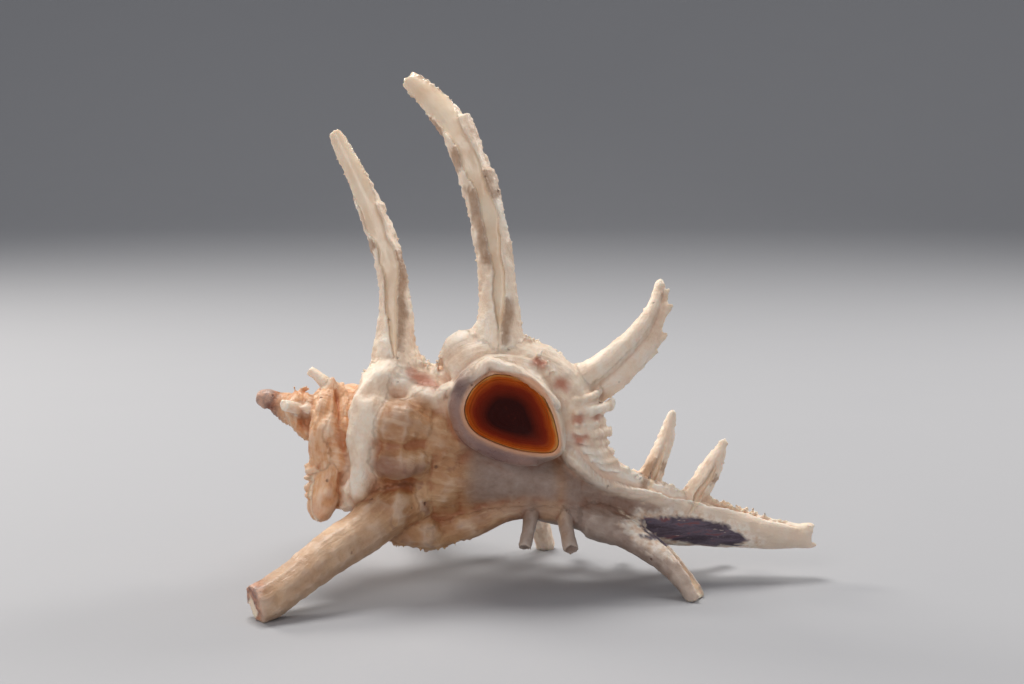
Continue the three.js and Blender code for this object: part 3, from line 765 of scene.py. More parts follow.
# Flutes of the comb beside the aperture, from the top down: root, middle, tip and width.
COMB_FLUTES = (
    ((10.4, -8.2, 31.8), (13, -6.6, 32.2), (14.4, -4.4, 32.6), 0.9),
    ((10.6, -8.4, 29.9), (13.8, -7, 30), (16.6, -3.8, 30.2), 1.35),
    ((10.6, -8.5, 27.8), (13.6, -7, 27.7), (15.2, -4.4, 27.7), 0.85),
    ((10.6, -8.5, 26.2), (13.7, -7.1, 26), (16, -4, 25.9), 1.0),
    ((10.8, -8.5, 24.5), (13.6, -7, 24.3), (15.2, -4.4, 24.1), 0.85),
    ((11.6, -8.2, 22.9), (14.2, -6.6, 22.6), (16, -4, 22.3), 0.85),
    ((13, -7.4, 21.2), (15.4, -6, 20.9), (17, -4, 20.6), 0.8),
    ((15, -6.4, 19.6), (17.2, -5.2, 19.3), (18.8, -3.6, 19.1), 0.7),
)


def add_teeth(heap, rng):
    """Teeth on the middle spine's lower edge, and the comb of flutes between it and the canal."""
    bm = bmesh.new()
    for root, tip, width in SPINE_TEETH:
        way = np.array(tip) - np.array(root)
        length = np.linalg.norm(way)
        add_scale(bm, root, way, width, length, 0.36, across=(-way[2], 0, way[0]), blunt=0.16)
    for root, middle, tip, width in COMB_FLUTES:
        run = spline((root, middle, tip), 0.45)
        for i, place in enumerate(run):
            half = width * (0.5 + 0.35 * i / len(run) + rng.uniform(-0.1, 0.1))
            add_lump(bm, *(place + rng.normal(0, 0.08, 3)), 0.55, half, half)
        for _ in range(6):
            way = unit(np.array(tip) - np.array(middle)) + rng.normal(0, 0.5, 3)
            place = np.array(tip) + rng.normal(0, 0.3, 3) * (0.5, 1, width)
            add_scale(bm, place, way, 0.5, rng.uniform(0.5, 1.1), 0.7)
    heap.take(bm)


# Rows of small scales: how far each layer of the row is shifted back, the route, the way the scales
# point, their spacing, their size and how stout they are.
FRILL_LAYERS = np.arange(-1.4, 4.0, 0.8)
FRONT_LAYERS = (-0.6, 0.4, 1.4)
REAR_LAYERS = (-1.0, 0.2, 1.4)
FRILL_ROWS = (
    (FRILL_LAYERS, ((2.4, -3, 41), (6, -3, 39), (9.4, -3, 36.4)), from_axis, 0.6, 0.62, 1),
    (FRILL_LAYERS, ((-12.6, -3, 36), (-11, -3, 39.4), (-8.6, -3, 42.2)), from_axis, 0.6, 0.55, 1),
    (FRILL_LAYERS, ((14.4, -2.6, 22), (18, -2.6, 18.7), (21, -2, 17.9)), (0.6, 0, 0.8), 0.6, 0.55, 1),
    (FRILL_LAYERS / 2, ((25.2, -1.6, 16), (27.4, -1.4, 15.2)), (0.2, 0, 1), 0.6, 0.55, 1),
    (FRILL_LAYERS, ((-24.4, -4, 34.6), (-22.6, -3, 37.2)), (-0.8, 0, 0.6), 0.6, 0.5, 1),
    (FRILL_LAYERS, ((-16, -2.6, 38.2), (-14, -3, 36.8), (-12.2, -3.4, 35)), (0.5, 0, 0.85), 0.6, 0.5, 1),
    ((0,), ((32.4, -0.6, 13.4), (36, -0.5, 12.3), (40, -0.2, 10.7), (44, 0, 9.7), (47.4, 0, 8.8)), UP,
     0.45, 0.62, 1.4),
    ((0,), ((33, 0.6, 13.2), (38, 0.8, 11.6), (43, 0.8, 9.8)), (0, 0.4, 1), 0.5, 0.7, 1),
    (FRONT_LAYERS, ((-20, -8.4, 8.4), (-15, -7.4, 7.4), (-11, -6.8, 7.2), (-7.6, -6.4, 8.8),
                    (-4.4, -6.2, 10.6), (-1, -6.6, 12)), (0, -0.2, -1), 0.55, 0.5, 1),
    ((0,), ((11, -6.4, 10.6), (15, -6.2, 8.8)), (0, -0.2, -1), 1.1, 0.35, 1),
    ((0,), ((-32, -6.8, 22.4), (-32.4, -7.8, 20), (-32.4, -8.8, 17.4), (-32.2, -9.4, 15.4)),
     (-1, -0.4, 0), 0.9, 1.0, 1.5),
    ((0,), ((-27, -7.8, 18.6), (-27.4, -8, 16), (-27, -8, 13.4)), (-1, -0.3, -0.2), 0.8, 0.9, 1.4),
    ((0,), ((-26.4, 0, 33.6), (-29, 0, 33), (-32, 0, 32.6), (-36, 0, 32)), UP, 0.6, 0.4, 1.2),
    (REAR_LAYERS, ((-19, 14, 26), (-15, 16.6, 21), (-9, 16, 15), (-2, 13, 12.6), (6, 10, 12),
                   (14, 7, 10.6), (23, 5, 9)), (0, 0.8, -0.5), 0.65, 0.6, 1),
)
# Rows of beads that run out over the wing, from x, z to x, z.
BEAD_ROWS = (((1.8, 38.8), (4, 41.2)), ((3.2, 38.2), (6, 40.4)), ((4.6, 37.2), (7.6, 39)),
             ((5.8, 36), (8.8, 37.4)))
BEADS_IN_ROW = 9
# Lips above and below the canal's end: x, y, z and half sizes.
CANAL_TIP_LIPS = ((49.6, 0, 8.9, 1.4, 0.9, 0.5), (49.8, 0, 5.6, 1.6, 0.9, 0.55))


def add_frills(heap, rng):
    """Rows of small scales along the edges of the ribs, beads on the wing and the lips of the canal's end."""
    for layers, route, outward, spacing, size, stout in FRILL_ROWS:
        for layer in layers:
            shifted = [(x, y + layer, z) for x, y, z in route]
            scale_row(heap, rng, shifted, outward, spacing, size, stout)
    bm = bmesh.new()
    for start, end in BEAD_ROWS:
        for x, z in np.linspace(start, end, BEADS_IN_ROW):
            if rng.random() < 0.7:
                x_off, y_off, z_off = rng.normal(0, (0.15, 0.1, 0.15))
                place = (x + x_off, -8.2 + 0.3 * (z - 38) + y_off, z + z_off)
                add_lump(bm, *place, *rng.uniform(0.2, 0.42, 3))
    for lip in CANAL_TIP_LIPS:
        add_lump(bm, *lip)
    heap.take(bm)


def shell_masks(every):
    """Shares of each finish at every point, from the parts that lie nearest."""
    tones = {name: np.zeros(len(every)) for name in ("white", "tan", "grey", "salmon")}
    growth, section, far = whorl_place(every)
    body = np.exp(-5 * np.clip(far - 0.98, 0, None))
    spire = ease(-23.4, -25.4, every[:, 0] + 0.1 * (every[:, 2] - 28))
    total = body.copy()
    tones["tan"] = body * (1 - spire)
    tones["salmon"] = body * spire
    groove = np.zeros(len(every))
    stain = np.zeros(len(every))
    flow = np.stack([growth * 0.3, np.cos(section) * 12, np.sin(section) * 12], 1)
    closest = np.clip(far, 0.9, None) + 0.12
    for rod in (*SPINES, *RIBS, CREST, CANAL):
        chosen, ratio, where = rod.near(every)
        points = every[chosen]
        weight = np.exp(-5 * np.clip(ratio - 1.05, 0, None))
        if rod in SPINES:
            weight = weight * (0.4 + 3 * ease(0.02, 0.25, rod.reach[where] / rod.length))
        if rod is CANAL:
            weight = weight * ease(-9, 6, points[:, 0])
        tones[rod.tone][chosen] += weight
        total[chosen] += weight
        off = points - rod.points[where]
        x = np.einsum("ij,ij->i", off, rod.side[where])
        y = np.einsum("ij,ij->i", off, rod.front[where])
        nearer = ratio < closest[chosen]
        closest[chosen[nearer]] = ratio[nearer]
        flow[chosen[nearer]] = np.stack([rod.reach[where] + 40 * rod.seed, x, y], 1)[nearer]
        if rod.groove is None:
            continue
        share = rod.reach[where] / rod.length
        shift, left, right = rod.groove_at(share)
        inside = np.where(x < shift, left + (x - shift), right - (x - shift))
        here = ease(1.5, 1.2, ratio) * (y > 0) * ease(0.015, 0.05, share)
        smooth = here * ease(-0.05, 0.18, inside) * ease(0.05, 0.2, np.minimum(left, right))
        groove[chosen] = np.maximum(groove[chosen], smooth)
        ragged = 0.5 * grain(points, 1.6, rod.seed) + 0.2 * grain(points, 0.6, rod.seed)
        beside = here * ease(0.05, -0.15, inside) * ease(-1.9, -1.0, inside + ragged)
        # Painted shadow cast by the groove's lips: brown patches just outside the groove.
        for hand, start, end in rod.stains:
            inner = np.minimum(share - start, end - share) * rod.length / 1.5 + ragged
            patch = beside * ease(0.0, 0.5, inner) * ((x - shift) * hand > 0)
            stain[chosen] = np.maximum(stain[chosen], patch)
    masks = {name: value / np.maximum(total, 1e-6) for name, value in tones.items()}
    masks.update(groove=groove, stain=stain, flow=flow, growth=growth, section=section, far=far)
    return masks


def near_route(points, route):
    """Distance to a route through the given stops."""
    best = np.full(len(points), 1e9)
    for place in spline(route, 0.5):
        best = np.minimum(best, np.linalg.norm(points - place, axis=1))
    return best


# x and z of the overlapping edge that runs from the aperture's lower corner along the canal.
LIP_EDGE = (
    (7.6, 24.4), (8.6, 23.9), (10.2, 22.8), (11.6, 21.3), (14.4, 18.5), (17.7, 17.2), (21, 16.3), (26, 14.7),
    (31, 13.2), (39.6, 11), (45, 9.6), (49, 8.6),
)


def above_lip(points):
    """How far above the canal's overlapping edge each point lies, seen from the front."""
    run = spline([(x, 0, z) for x, z in LIP_EDGE], 0.3)[:, [0, 2]]
    height = np.interp(points[:, 0], run[:, 0], run[:, 1])
    slope = np.interp(points[:, 0], run[:-1, 0], np.diff(run[:, 1]) / np.maximum(np.diff(run[:, 0]), 0.05))
    wavy = 0.35 * grain_line(points[:, 0], 2.2, 61) + 0.12 * grain_line(points[:, 0], 0.8, 62)
    return (points[:, 2] - height - wavy) / np.sqrt(1 + slope**2)


def mouth_distance(points):
    """How far outside the aperture's outline each point lies, seen from the front, and its turn round it."""
    ring = closed_outline(MOUTH_OUTLINE, 160)
    flat = points[:, [0, 2]] - MOUTH_CENTRE[[0, 2]]
    turn = np.arctan2(flat[:, 1], flat[:, 0])
    ring_turn = np.arctan2(ring[:, 1], ring[:, 0])
    order = np.argsort(ring_turn)
    radius = np.interp(turn, ring_turn[order], np.linalg.norm(ring, axis=1)[order], period=2 * math.pi)
    return np.linalg.norm(flat, axis=1) - radius, turn


# Heights of the relief on the whorls. The lumps of knobbly skin: height, size and seed.
THREAD_HEIGHT = 0.09
FINE_THREAD_HEIGHT = 0.045
GROWTH_LINE_HEIGHT = 0.035
KNOBBLY = ((0.75, 4.6, 1), (0.36, 2.3, 2), (0.13, 1.2, 4))
EDGE_HEIGHT = 0.55  # of the overlapping edge along the canal
RIM_HEIGHT = 0.3  # of the fold round the collar
BETWEEN_KNOBS = 0.4  # depth of the furrow between the knobs, as a share of that under them
OLD_LIP_FURROW = 1.1
SPIRE_FURROW = 0.6


def whorl_relief(points, masks, rough):
    """Threads, growth lines and knobbly skin."""
    on_body = ease(2.2, 1.4, masks["far"]) * (1 - 0.75 * masks["white"])
    on_body = on_body * (1 - masks["groove"]) * (1 - 0.8 * masks["grey"])
    threads = THREAD_HEIGHT * np.cos(masks["section"] * THREADS)
    threads = threads + FINE_THREAD_HEIGHT * np.cos(masks["section"] * FINE_THREADS + 1)
    growth_lines = GROWTH_LINE_HEIGHT * np.cos(masks["growth"] * 1.1 + 2.0 * grain(points, 3, 9))
    lumps = sum(height * grain(points, size, seed) for height, size, seed in KNOBBLY)
    beyond_leg = ease(-22, -25, points[:, 0]) * ease(17, 14, points[:, 2])
    lumps = lumps * (1 - 0.75 * beyond_leg)
    fine = 0.08 * grain(points, 0.9, 3)
    move = on_body * rough * (threads + growth_lines + lumps) + rough * fine
    return move + 0.22 * masks["salmon"] * grain(points, 1.3, 8) * rough


def canal_edge(points, normals):
    """The step where the outer sheet of shell overlaps the canal."""
    x, y, _ = points.T
    above = above_lip(points)
    front = ease(-0.2, -0.6, normals[:, 1]) * (y < 1)
    lip = front * ease(7.6, 9.4, x) * ease(49, 44, x) * (1 + 0.9 * ease(28, 16, x))
    sheet = ease(0.1, -0.1, above) * ease(-4, 0, above)
    step = ease(-0.1, 0.1, above) * ease(4, 0, above)
    return EDGE_HEIGHT * lip * (sheet - step)


def furrows(points):
    """Depths of the furrows round the knobs, before the old lip and between the spire's whorls."""
    x, y, z = points.T
    bent = 0.6 * grain(points, 3.0, 31)
    under = hill(x, -17.4, 3.2) * hill(z + bent, 18.2, 1.0)
    between = hill(x, -16.4, 3.0) * hill(z + bent, 25.2, 0.9)
    knobs = (under + BETWEEN_KNOBS * between) * ease(-5, -8, y)
    at_lip = x + 0.1 * (z - 25) + 0.5 * bent
    old_lip = OLD_LIP_FURROW * hill(at_lip, -27.7, 0.8) * ease(-1, -4, y) * (z > 15)
    spire = SPIRE_FURROW * hill(x + 0.1 * (z - 28), -34.2, 0.7) * ease(0, -2, y) * (z > 22)
    return knobs, old_lip, spire


def collar_fold(points, outside):
    """The low fold round the collar's edge, with a groove outside it."""
    collar = ease(-6.5, -8.5, points[:, 1]) * (points[:, 0] < 4)
    rim = ease(2.9, 2.5, outside) * ease(1.0, 2.4, outside)
    return RIM_HEIGHT * collar * (rim - hill(outside, 3.2, 0.35))


def shape_surface(piece):
    """Moves the skin along its normals and keeps it above the ground."""
    mesh = piece.data
    points, normals = coordinates(mesh), coordinates(mesh, "normal")
    masks = shell_masks(points)
    outside = mouth_distance(points)[0]
    smooth_front = ease(3.0, 0.4, outside) * (points[:, 1] < -6)
    rough = (1 - masks["groove"]) * (1 - smooth_front)
    move = whorl_relief(points, masks, rough) + canal_edge(points, normals)
    for furrow in furrows(points):
        move -= furrow
    move += collar_fold(points, outside)
    points = points + normals * move[:, None]
    points[:, 2] = np.maximum(points[:, 2], 0.0)
    set_coordinates(mesh, points)


def thin_out(piece, most):
    """Keeps the mesh under a number of triangles."""
    triangles = sum(len(p.vertices) - 2 for p in piece.data.polygons)
    if triangles > most:
        thin = piece.modifiers.new("Thin", "DECIMATE")
        thin.ratio = most / triangles
        bake_modifiers(piece)


SMOOTHINGS = 14


def cavity(mesh, points):
    """How deep in a hollow and how far out on a ridge each point lies, from 0 to 1."""
    edges = np.zeros(len(mesh.edges) * 2, np.int64)
    mesh.edges.foreach_get("vertices", edges)
    a, b = edges.reshape(-1, 2).T
    count = np.maximum(np.bincount(a, minlength=len(points)) + np.bincount(b, minlength=len(points)), 1)
    soft = points.copy()
    for _ in range(SMOOTHINGS):
        for k in range(3):
            value = soft[:, k]
            around = np.bincount(a, value[b], len(points)) + np.bincount(b, value[a], len(points))
            soft[:, k] = around / count
    out = np.einsum("ij,ij->i", points - soft, coordinates(mesh, "normal"))
    return ease(-0.02, -0.34, out), ease(0.06, 0.4, out)


def drop_crumbs(piece):
    """Deletes everything that isn't part of the largest connected skin."""
    mesh = piece.data
    edges = np.zeros(len(mesh.edges) * 2, np.int64)
    mesh.edges.foreach_get("vertices", edges)
    a, b = edges.reshape(-1, 2).T
    label = np.arange(len(mesh.vertices))
    while True:
        least = np.minimum(label[a], label[b])
        fresh = label.copy()
        np.minimum.at(fresh, a, least)
        np.minimum.at(fresh, b, least)
        np.minimum.at(fresh, label[a], least)
        np.minimum.at(fresh, label[b], least)
        fresh = fresh[fresh]
        if np.array_equal(fresh, label):
            break
        label = fresh
    largest = np.bincount(label).argmax()
    bm = bmesh.new()
    bm.from_mesh(mesh)
    bm.verts.ensure_lookup_table()
    crumbs = [bm.verts[i] for i in np.flatnonzero(label != largest)]
    bmesh.ops.delete(bm, geom=crumbs, context="VERTS")
    bm.to_mesh(mesh)
    bm.free()


# Coloured blush patches and, after them, patches of painted shadow: the route that each follows and how much
# smaller than the largest it is.
BLUSH_SPOTS = (
    (((10.8, -7.8, 28.8), (13.6, -6, 28.8)), 0),
    (((11, -7.8, 25.3), (13.8, -6, 25.1)), 0),
    (((-15.8, -6.4, 36.4), (-14.4, -6.4, 35), (-12.8, -7, 33)), -0.3),
    (((3.4, -8.6, 38), (5, -8, 37.6)), 0.3),
    (((7.6, -8.4, 34.6), (8.4, -8, 34)), 0.3),
)
# Painted shadow: under the lower knob, beside the upper knob and in the gap at the collar's left edge.
SHADOW_PATCHES = (
    (((-21, -13, 21.4), (-18, -14.6, 20.8), (-14.6, -13.8, 20.2)), 0),
    (((-15.4, -13.6, 28.6), (-12.6, -12.8, 26.6)), 0.8),
    (((-9.6, -12.6, 31), (-8.4, -12, 30)), 1.0),
)

# The worn patch on the canal: x and z of its middle, and its half sizes along and across the canal.
WORN_CENTRE = (30.4, 8.6)
WORN_HALF = (8.4, 2.5)


def near_patches(points, patches):
    """Distance to the nearest patch's route, plus how much smaller that patch is."""
    return np.min([near_route(points, route) + smaller for route, smaller in patches], axis=0)


def paint_masks(piece):
    """Stores on the mesh how much of each finish every point has."""
    mesh = piece.data
    points = coordinates(mesh)
    masks = shell_masks(points)
    x, y, z = points.T
    outside, turn = mouth_distance(points)
    front = ease(-7.5, -9.5, y)
    collar = ease(3.2, 2.5, outside + 0.3 * grain(points, 2.0, 19)) * front
    left_below = ease(0.2, -0.4, np.cos(turn - COLLAR_NARROW))
    set_mask(mesh, "callus", collar * left_below * ease(-0.2, 1.4, outside + 0.4))
    set_mask(mesh, "inner_lip", ease(1.0, 0.4, outside) * front)
    above = above_lip(points)
    beyond = ease(6, 10, x) * (y < 1)
    below_lip = beyond * ease(0.1, -0.1, above) * (y < -1)
    set_mask(mesh, "canal", np.maximum(masks["grey"] * (1 - masks["white"]) * (1 - beyond), below_lip))
    set_mask(mesh, "band", beyond * ease(-0.1, 0.1, above) * ease(3.4, 1.6, above) * ease(-1, -2.5, y))
    # Paler towards the canal's end: partly its own paler tone, partly painted light on the end.
    set_mask(mesh, "pale_lit_end", masks["grey"] * ease(22, 42, x) * (1 - ease(4, 1, outside) * 0.5))
    sheet = ease(0.15, -0.05, above) * ease(-2.2, -1.7, above + 0.4 * grain(points, 2.4, 33))
    set_mask(mesh, "sheet", sheet * beyond * (y < -1) * ease(12, 20, x))
    set_mask(mesh, "white", np.maximum(masks["white"], ease(14, 18, x) * ease(-0.1, 0.3, above)))
    set_mask(mesh, "salmon", masks["salmon"])
    # Painted shadow patches by the knobs and the collar.
    shadow_patch = near_patches(points, SHADOW_PATCHES)
    set_mask(mesh, "shadow_patch", ease(3.2, 0.9, shadow_patch + 0.7 * grain(points, 1.8, 41)))
    blush = near_patches(points, BLUSH_SPOTS)
    set_mask(mesh, "blush", ease(1.7, 0.2, blush + 0.6 * grain(points, 1.0, 17)))
    beige = np.zeros(len(points))
    chosen, ratio, where = FRONT_LEG.near(points)
    beige[chosen] = ease(1.9, 1.2, ratio) * ease(0.12, 0.4, FRONT_LEG.reach[where] / FRONT_LEG.length)
    set_mask(mesh, "beige", beige)
    set_mask(mesh, "apex", ease(-37.2, -39.8, x + 0.5 * grain(points, 1.5, 5)))
    set_mask(mesh, "groove", masks["groove"])
    set_mask(mesh, "stain", masks["stain"])
    set_mask(mesh, "threads", 0.5 + 0.5 * np.cos(masks["section"] * THREADS))
    off_x, off_z = x - WORN_CENTRE[0], z - WORN_CENTRE[1]
    ragged = 0.16 * grain(points, 1.6, 12) + 0.14 * grain(points * (0.5, 1, 1.6), 0.5, 13)
    across = (off_z * 0.98 + off_x * 0.2) / WORN_HALF[1]
    oval = np.hypot((off_x * 0.98 - off_z * 0.2) / WORN_HALF[0], across)
    set_mask(mesh, "worn", ease(1.04, 0.94, oval + ragged) * (y < -0.5))
    set_mask(mesh, "scraped", ease(1.6, 1.2, oval + 1.5 * ragged) * (y < -0.5))
    flow = mesh.attributes.new("flow", "FLOAT_VECTOR", "POINT")
    flow.data.foreach_set("vector", masks["flow"].astype(np.float32).ravel())
    # Painted shade in the hollows and painted highlight on the ridges, from how far each point lies below or
    # above its smoothed neighbours.
    hollow, ridge = cavity(mesh, points)
    set_mask(mesh, "hollow", hollow)
    set_mask(mesh, "ridge", ridge)


# ---------------------------------------------------------------- materials


class Nodes:
    """A short way to write a node tree."""

    def __init__(self, name):
        self.material = bpy.data.materials.new(name)
        self.material.use_nodes = True
        self.tree = self.material.node_tree
        self.tree.nodes.clear()
        self.object = self.add("ShaderNodeTexCoord").outputs["Object"]

    def add(self, kind, values=None, **settings):
        node = self.tree.nodes.new(kind)
        for key, value in settings.items():
            setattr(node, key, value)
        for key, value in (values or {}).items():
            self.put(node.inputs[key], value)
        return node

    def put(self, socket, value):
        """Links a socket to this one, or sets a number, vector or colour on it."""
        if isinstance(value, bpy.types.NodeSocket):
            self.tree.links.new(value, socket)
        elif socket.type == "RGBA":
            socket.default_value = (*value, 1.0)
        else:
            socket.default_value = value

    def mask(self, name):
        return self.add("ShaderNodeAttribute", attribute_name=name).outputs["Fac"]

    def noise(self, size, detail, rough=0.55, vector=None, warp=0.0):
        values = {"Vector": vector or self.object, "Scale": 1.0 / size, "Detail": detail, "Roughness": rough,
                  "Distortion": warp}
        return self.add("ShaderNodeTexNoise", values).outputs["Fac"]

    def ramp(self, value, stops):
        """A colour ramp whose stops are a place and a colour, or a place and a grey."""
        node = self.add("ShaderNodeValToRGB", {"Fac": value})
        ramp = node.color_ramp
        while len(ramp.elements) < len(stops):
            ramp.elements.new(1.0)
        for element, (place, colour) in zip(ramp.elements, stops):
            element.position = place
            element.color = (colour, colour, colour, 1.0) if isinstance(colour, float) else (*colour, 1.0)
        return node.outputs["Color"]

    def mix(self, share, low, high, blend="MIX"):
        node = self.add("ShaderNodeMix", data_type="RGBA", blend_type=blend)
        self.put(node.inputs["Factor"], share)
        low_colour, high_colour = (socket for socket in node.inputs if socket.type == "RGBA")
        self.put(low_colour, low)
        self.put(high_colour, high)
        return next(socket for socket in node.outputs if socket.type == "RGBA")

    def math(self, operation, a, b=0.0):
        node = self.add("ShaderNodeMath", operation=operation)
        for socket, value in zip(node.inputs, (a, b)):
            self.put(socket, value)
        return node.outputs[0]

    def times(self, a, b):
        return self.math("MULTIPLY", a, b)

    def step(self, value, low, high):
        """0 at low, 1 at high and smooth between; low may be the larger one."""
        values = {"Value": value, "From Min": low, "From Max": high, "To Min": 0.0, "To Max": 1.0}
        return self.add("ShaderNodeMapRange", values, interpolation_type="SMOOTHSTEP").outputs["Result"]

    def bump(self, height, distance, strength, normal=None):
        values = {"Height": height, "Distance": distance, "Strength": strength}
        if normal is not None:
            values["Normal"] = normal
        return self.add("ShaderNodeBump", values).outputs["Normal"]

    def finish(self, shader):
        out = self.add("ShaderNodeOutputMaterial")
        self.tree.links.new(shader.outputs[0], out.inputs["Surface"])
        return self.material


PITS_PER_METRE = 330.0
# Painted shade: deep in a hollow the colour is multiplied down by this much.
HOLLOW_SHADE = (0.72, 0.44, 0.3)  # what the colour is multiplied by deep in a hollow


class ShellNodes(Nodes):
    """The shell's node tree, with the patterns that its colours and its relief share."""

    def __init__(self, name):
        super().__init__(name)
        self.broad = self.noise(0.011, 3)
        self.cloudy = self.noise(0.0045, 4, 0.6)
        self.fine = self.noise(0.0011, 4, 0.6)
        self.specks = self.noise(0.0004, 3, 0.6)
        flow = self.add("ShaderNodeAttribute", attribute_name="flow").outputs["Vector"]
        along = self.stretched(flow, (0.16, 1.0, 1.0))
        across = self.stretched(flow, (1.0, 0.2, 0.2))
        self.streaks = self.noise(0.9, 4, 0.6, vector=along)
        self.bands = self.noise(1.6, 3, 0.6, vector=across)
        cells = self.add("ShaderNodeTexVoronoi",
                         {"Vector": self.object, "Scale": PITS_PER_METRE, "Randomness": 1.0})
        here = self.step(self.noise(0.004, 2), 0.53, 0.6)
        self.pit = self.times(self.step(cells.outputs["Distance"], 0.13, 0.05), here)

    def stretched(self, vector, scale):
        return self.add("ShaderNodeMapping", {"Vector": vector, "Scale": scale}).outputs["Vector"]

    def blend(self, a, b, share):
        """share of a and the rest of b."""
        return self.math("ADD", self.times(a, share), self.times(b, 1.0 - share))


def body_colour(n, look):
    """Translucent tan with warmer clouds and faint brown spots along the threads."""
    tan = n.ramp(n.blend(n.broad, n.cloudy, 0.55),
                 [(0.3, look.body_shade), (0.5, look.body_tan), (0.68, look.body_pale)])
    thread = n.step(n.mask("threads"), 0.35, 0.95)
    spot = n.step(n.noise(0.0024, 2, 0.5, warp=0.6), 0.56, 0.68)
    tan = n.mix(n.times(n.times(spot, thread), 0.8), tan, look.spot_brown)
    tan = n.mix(n.times(thread, 0.14), tan, look.body_pale)
    tan = n.mix(n.times(n.step(n.streaks, 0.5, 0.66), 0.4), tan, look.body_pale)
    return n.mix(n.times(n.step(n.bands, 0.56, 0.76), 0.22), tan, look.body_shade)


def grown_colour(n, look):
    """The body, spire, canal, front leg and ribs, each in its own tones."""
    salmon = n.ramp(n.blend(n.cloudy, n.streaks, 0.5),
                    [(0.34, look.spire_rust), (0.47, look.spire_salmon), (0.66, look.spire_pale)])
    grey = n.ramp(n.blend(n.broad, n.fine, 0.6), [(0.35, look.canal_shade), (0.62, look.canal_grey)])
    leg = n.ramp(n.blend(n.broad, n.cloudy, 0.5), [(0.36, look.leg_shade), (0.6, look.leg_beige)])
    white = n.ramp(n.blend(n.cloudy, n.fine, 0.7),
                   [(0.32, look.rib_shade), (0.5, look.rib_cream), (0.7, look.rib_white)])
    eroded = n.ramp(n.fine, [(0.4, look.apex_dark), (0.6, look.apex_rust)])
    colour = n.mix(n.mask("salmon"), body_colour(n, look), salmon)
    colour = n.mix(n.mask("canal"), colour, grey)
    colour = n.mix(n.times(n.mask("sheet"), 0.5), colour, look.rib_cream)
    colour = n.mix(n.times(n.mask("beige"), 0.85), colour, leg)
    # The canal's end made paler, partly by painted light.
    colour = n.mix(n.times(n.mask("pale_lit_end"), 0.8), colour, look.rib_cream)
    colour = n.mix(n.step(n.mask("white"), 0.15, 0.75), colour, white)
    colour = n.mix(n.mask("apex"), colour, eroded)
    colour = n.mix(n.times(n.mask("band"), 0.85), colour, look.rib_white)
    white_streaks = n.times(n.step(n.streaks, 0.54, 0.68), n.times(n.mask("white"), 0.18))
    return n.mix(white_streaks, colour, look.rib_shade)


def shaded_and_patched_colour(n, look, colour):
    """Blush patches; painted shadow by the knobs, collar and groove lips; painted shade in hollows; painted
    ridge highlights.
    """
    colour = n.mix(n.times(n.mask("blush"), 0.85), colour, look.blush)
    # Painted shadow by the knobs and at the collar's edge.
    colour = n.mix(n.times(n.mask("shadow_patch"), 0.7), colour, look.shadow_patch)
    # Painted shade in the hollows, weaker on pale parts.
    deep = n.mix(1.0, colour, HOLLOW_SHADE, blend="MULTIPLY")
    pale = n.math("MAXIMUM", n.mask("white"), n.mask("pale_lit_end"))
    colour = n.mix(n.times(n.mask("hollow"), n.math("SUBTRACT", 0.85, n.times(pale, 0.5))), colour, deep)
    # Painted highlight: ridges lightened towards rib white, but not in the painted shadow patches.
    ridge_highlight = n.math("SUBTRACT", 0.24, n.times(n.mask("shadow_patch"), 0.24))
    colour = n.mix(n.times(n.mask("ridge"), ridge_highlight), colour, look.rib_white)
    # Painted shadow beside the grooves, cast by their lips.
    stain = n.times(n.mask("stain"), n.math("ADD", 0.55, n.times(n.noise(0.0012, 3), 0.6)))
    colour = n.mix(n.times(stain, 0.88), colour, look.stain)
    groove = n.ramp(n.cloudy, [(0.35, look.groove_tan), (0.65, look.groove_pale)])
    return n.mix(n.mask("groove"), colour, groove)


def aperture_colour(n, look, colour):
    """The collar and the edge of the aperture."""
    callus = n.ramp(n.broad, [(0.4, look.callus), (0.62, look.callus_pale)])
    colour = n.mix(n.times(n.mask("callus"), 0.9), colour, callus)
    at_edge = n.times(n.mask("inner_lip"), n.math("SUBTRACT", 0.8, n.times(n.mask("callus"), 0.3)))
    return n.mix(at_edge, colour, look.inner_lip)


def worn_colour(n, look, colour):
    """The dark worn patch on the canal with its scraped surround, and the small dark pits."""
    scraped = n.ramp(n.fine, [(0.35, look.rib_shade), (0.6, look.rib_white)])
    colour = n.mix(n.times(n.mask("scraped"), 0.75), colour, scraped)
    streak = n.stretched(n.object, (0.35, 1.0, 1.6))
    worn_tone = n.ramp(n.noise(0.0016, 4, 0.65, vector=streak, warp=0.5),
                       [(0.4, look.worn_dark), (0.58, look.worn_grey), (0.66, look.worn_red)])
    worn = n.times(n.mask("worn"), n.step(n.noise(0.0007, 3, vector=streak), 0.22, 0.36))
    return n.mix(n.times(n.pit, 0.75), n.mix(worn, colour, worn_tone), look.pit)


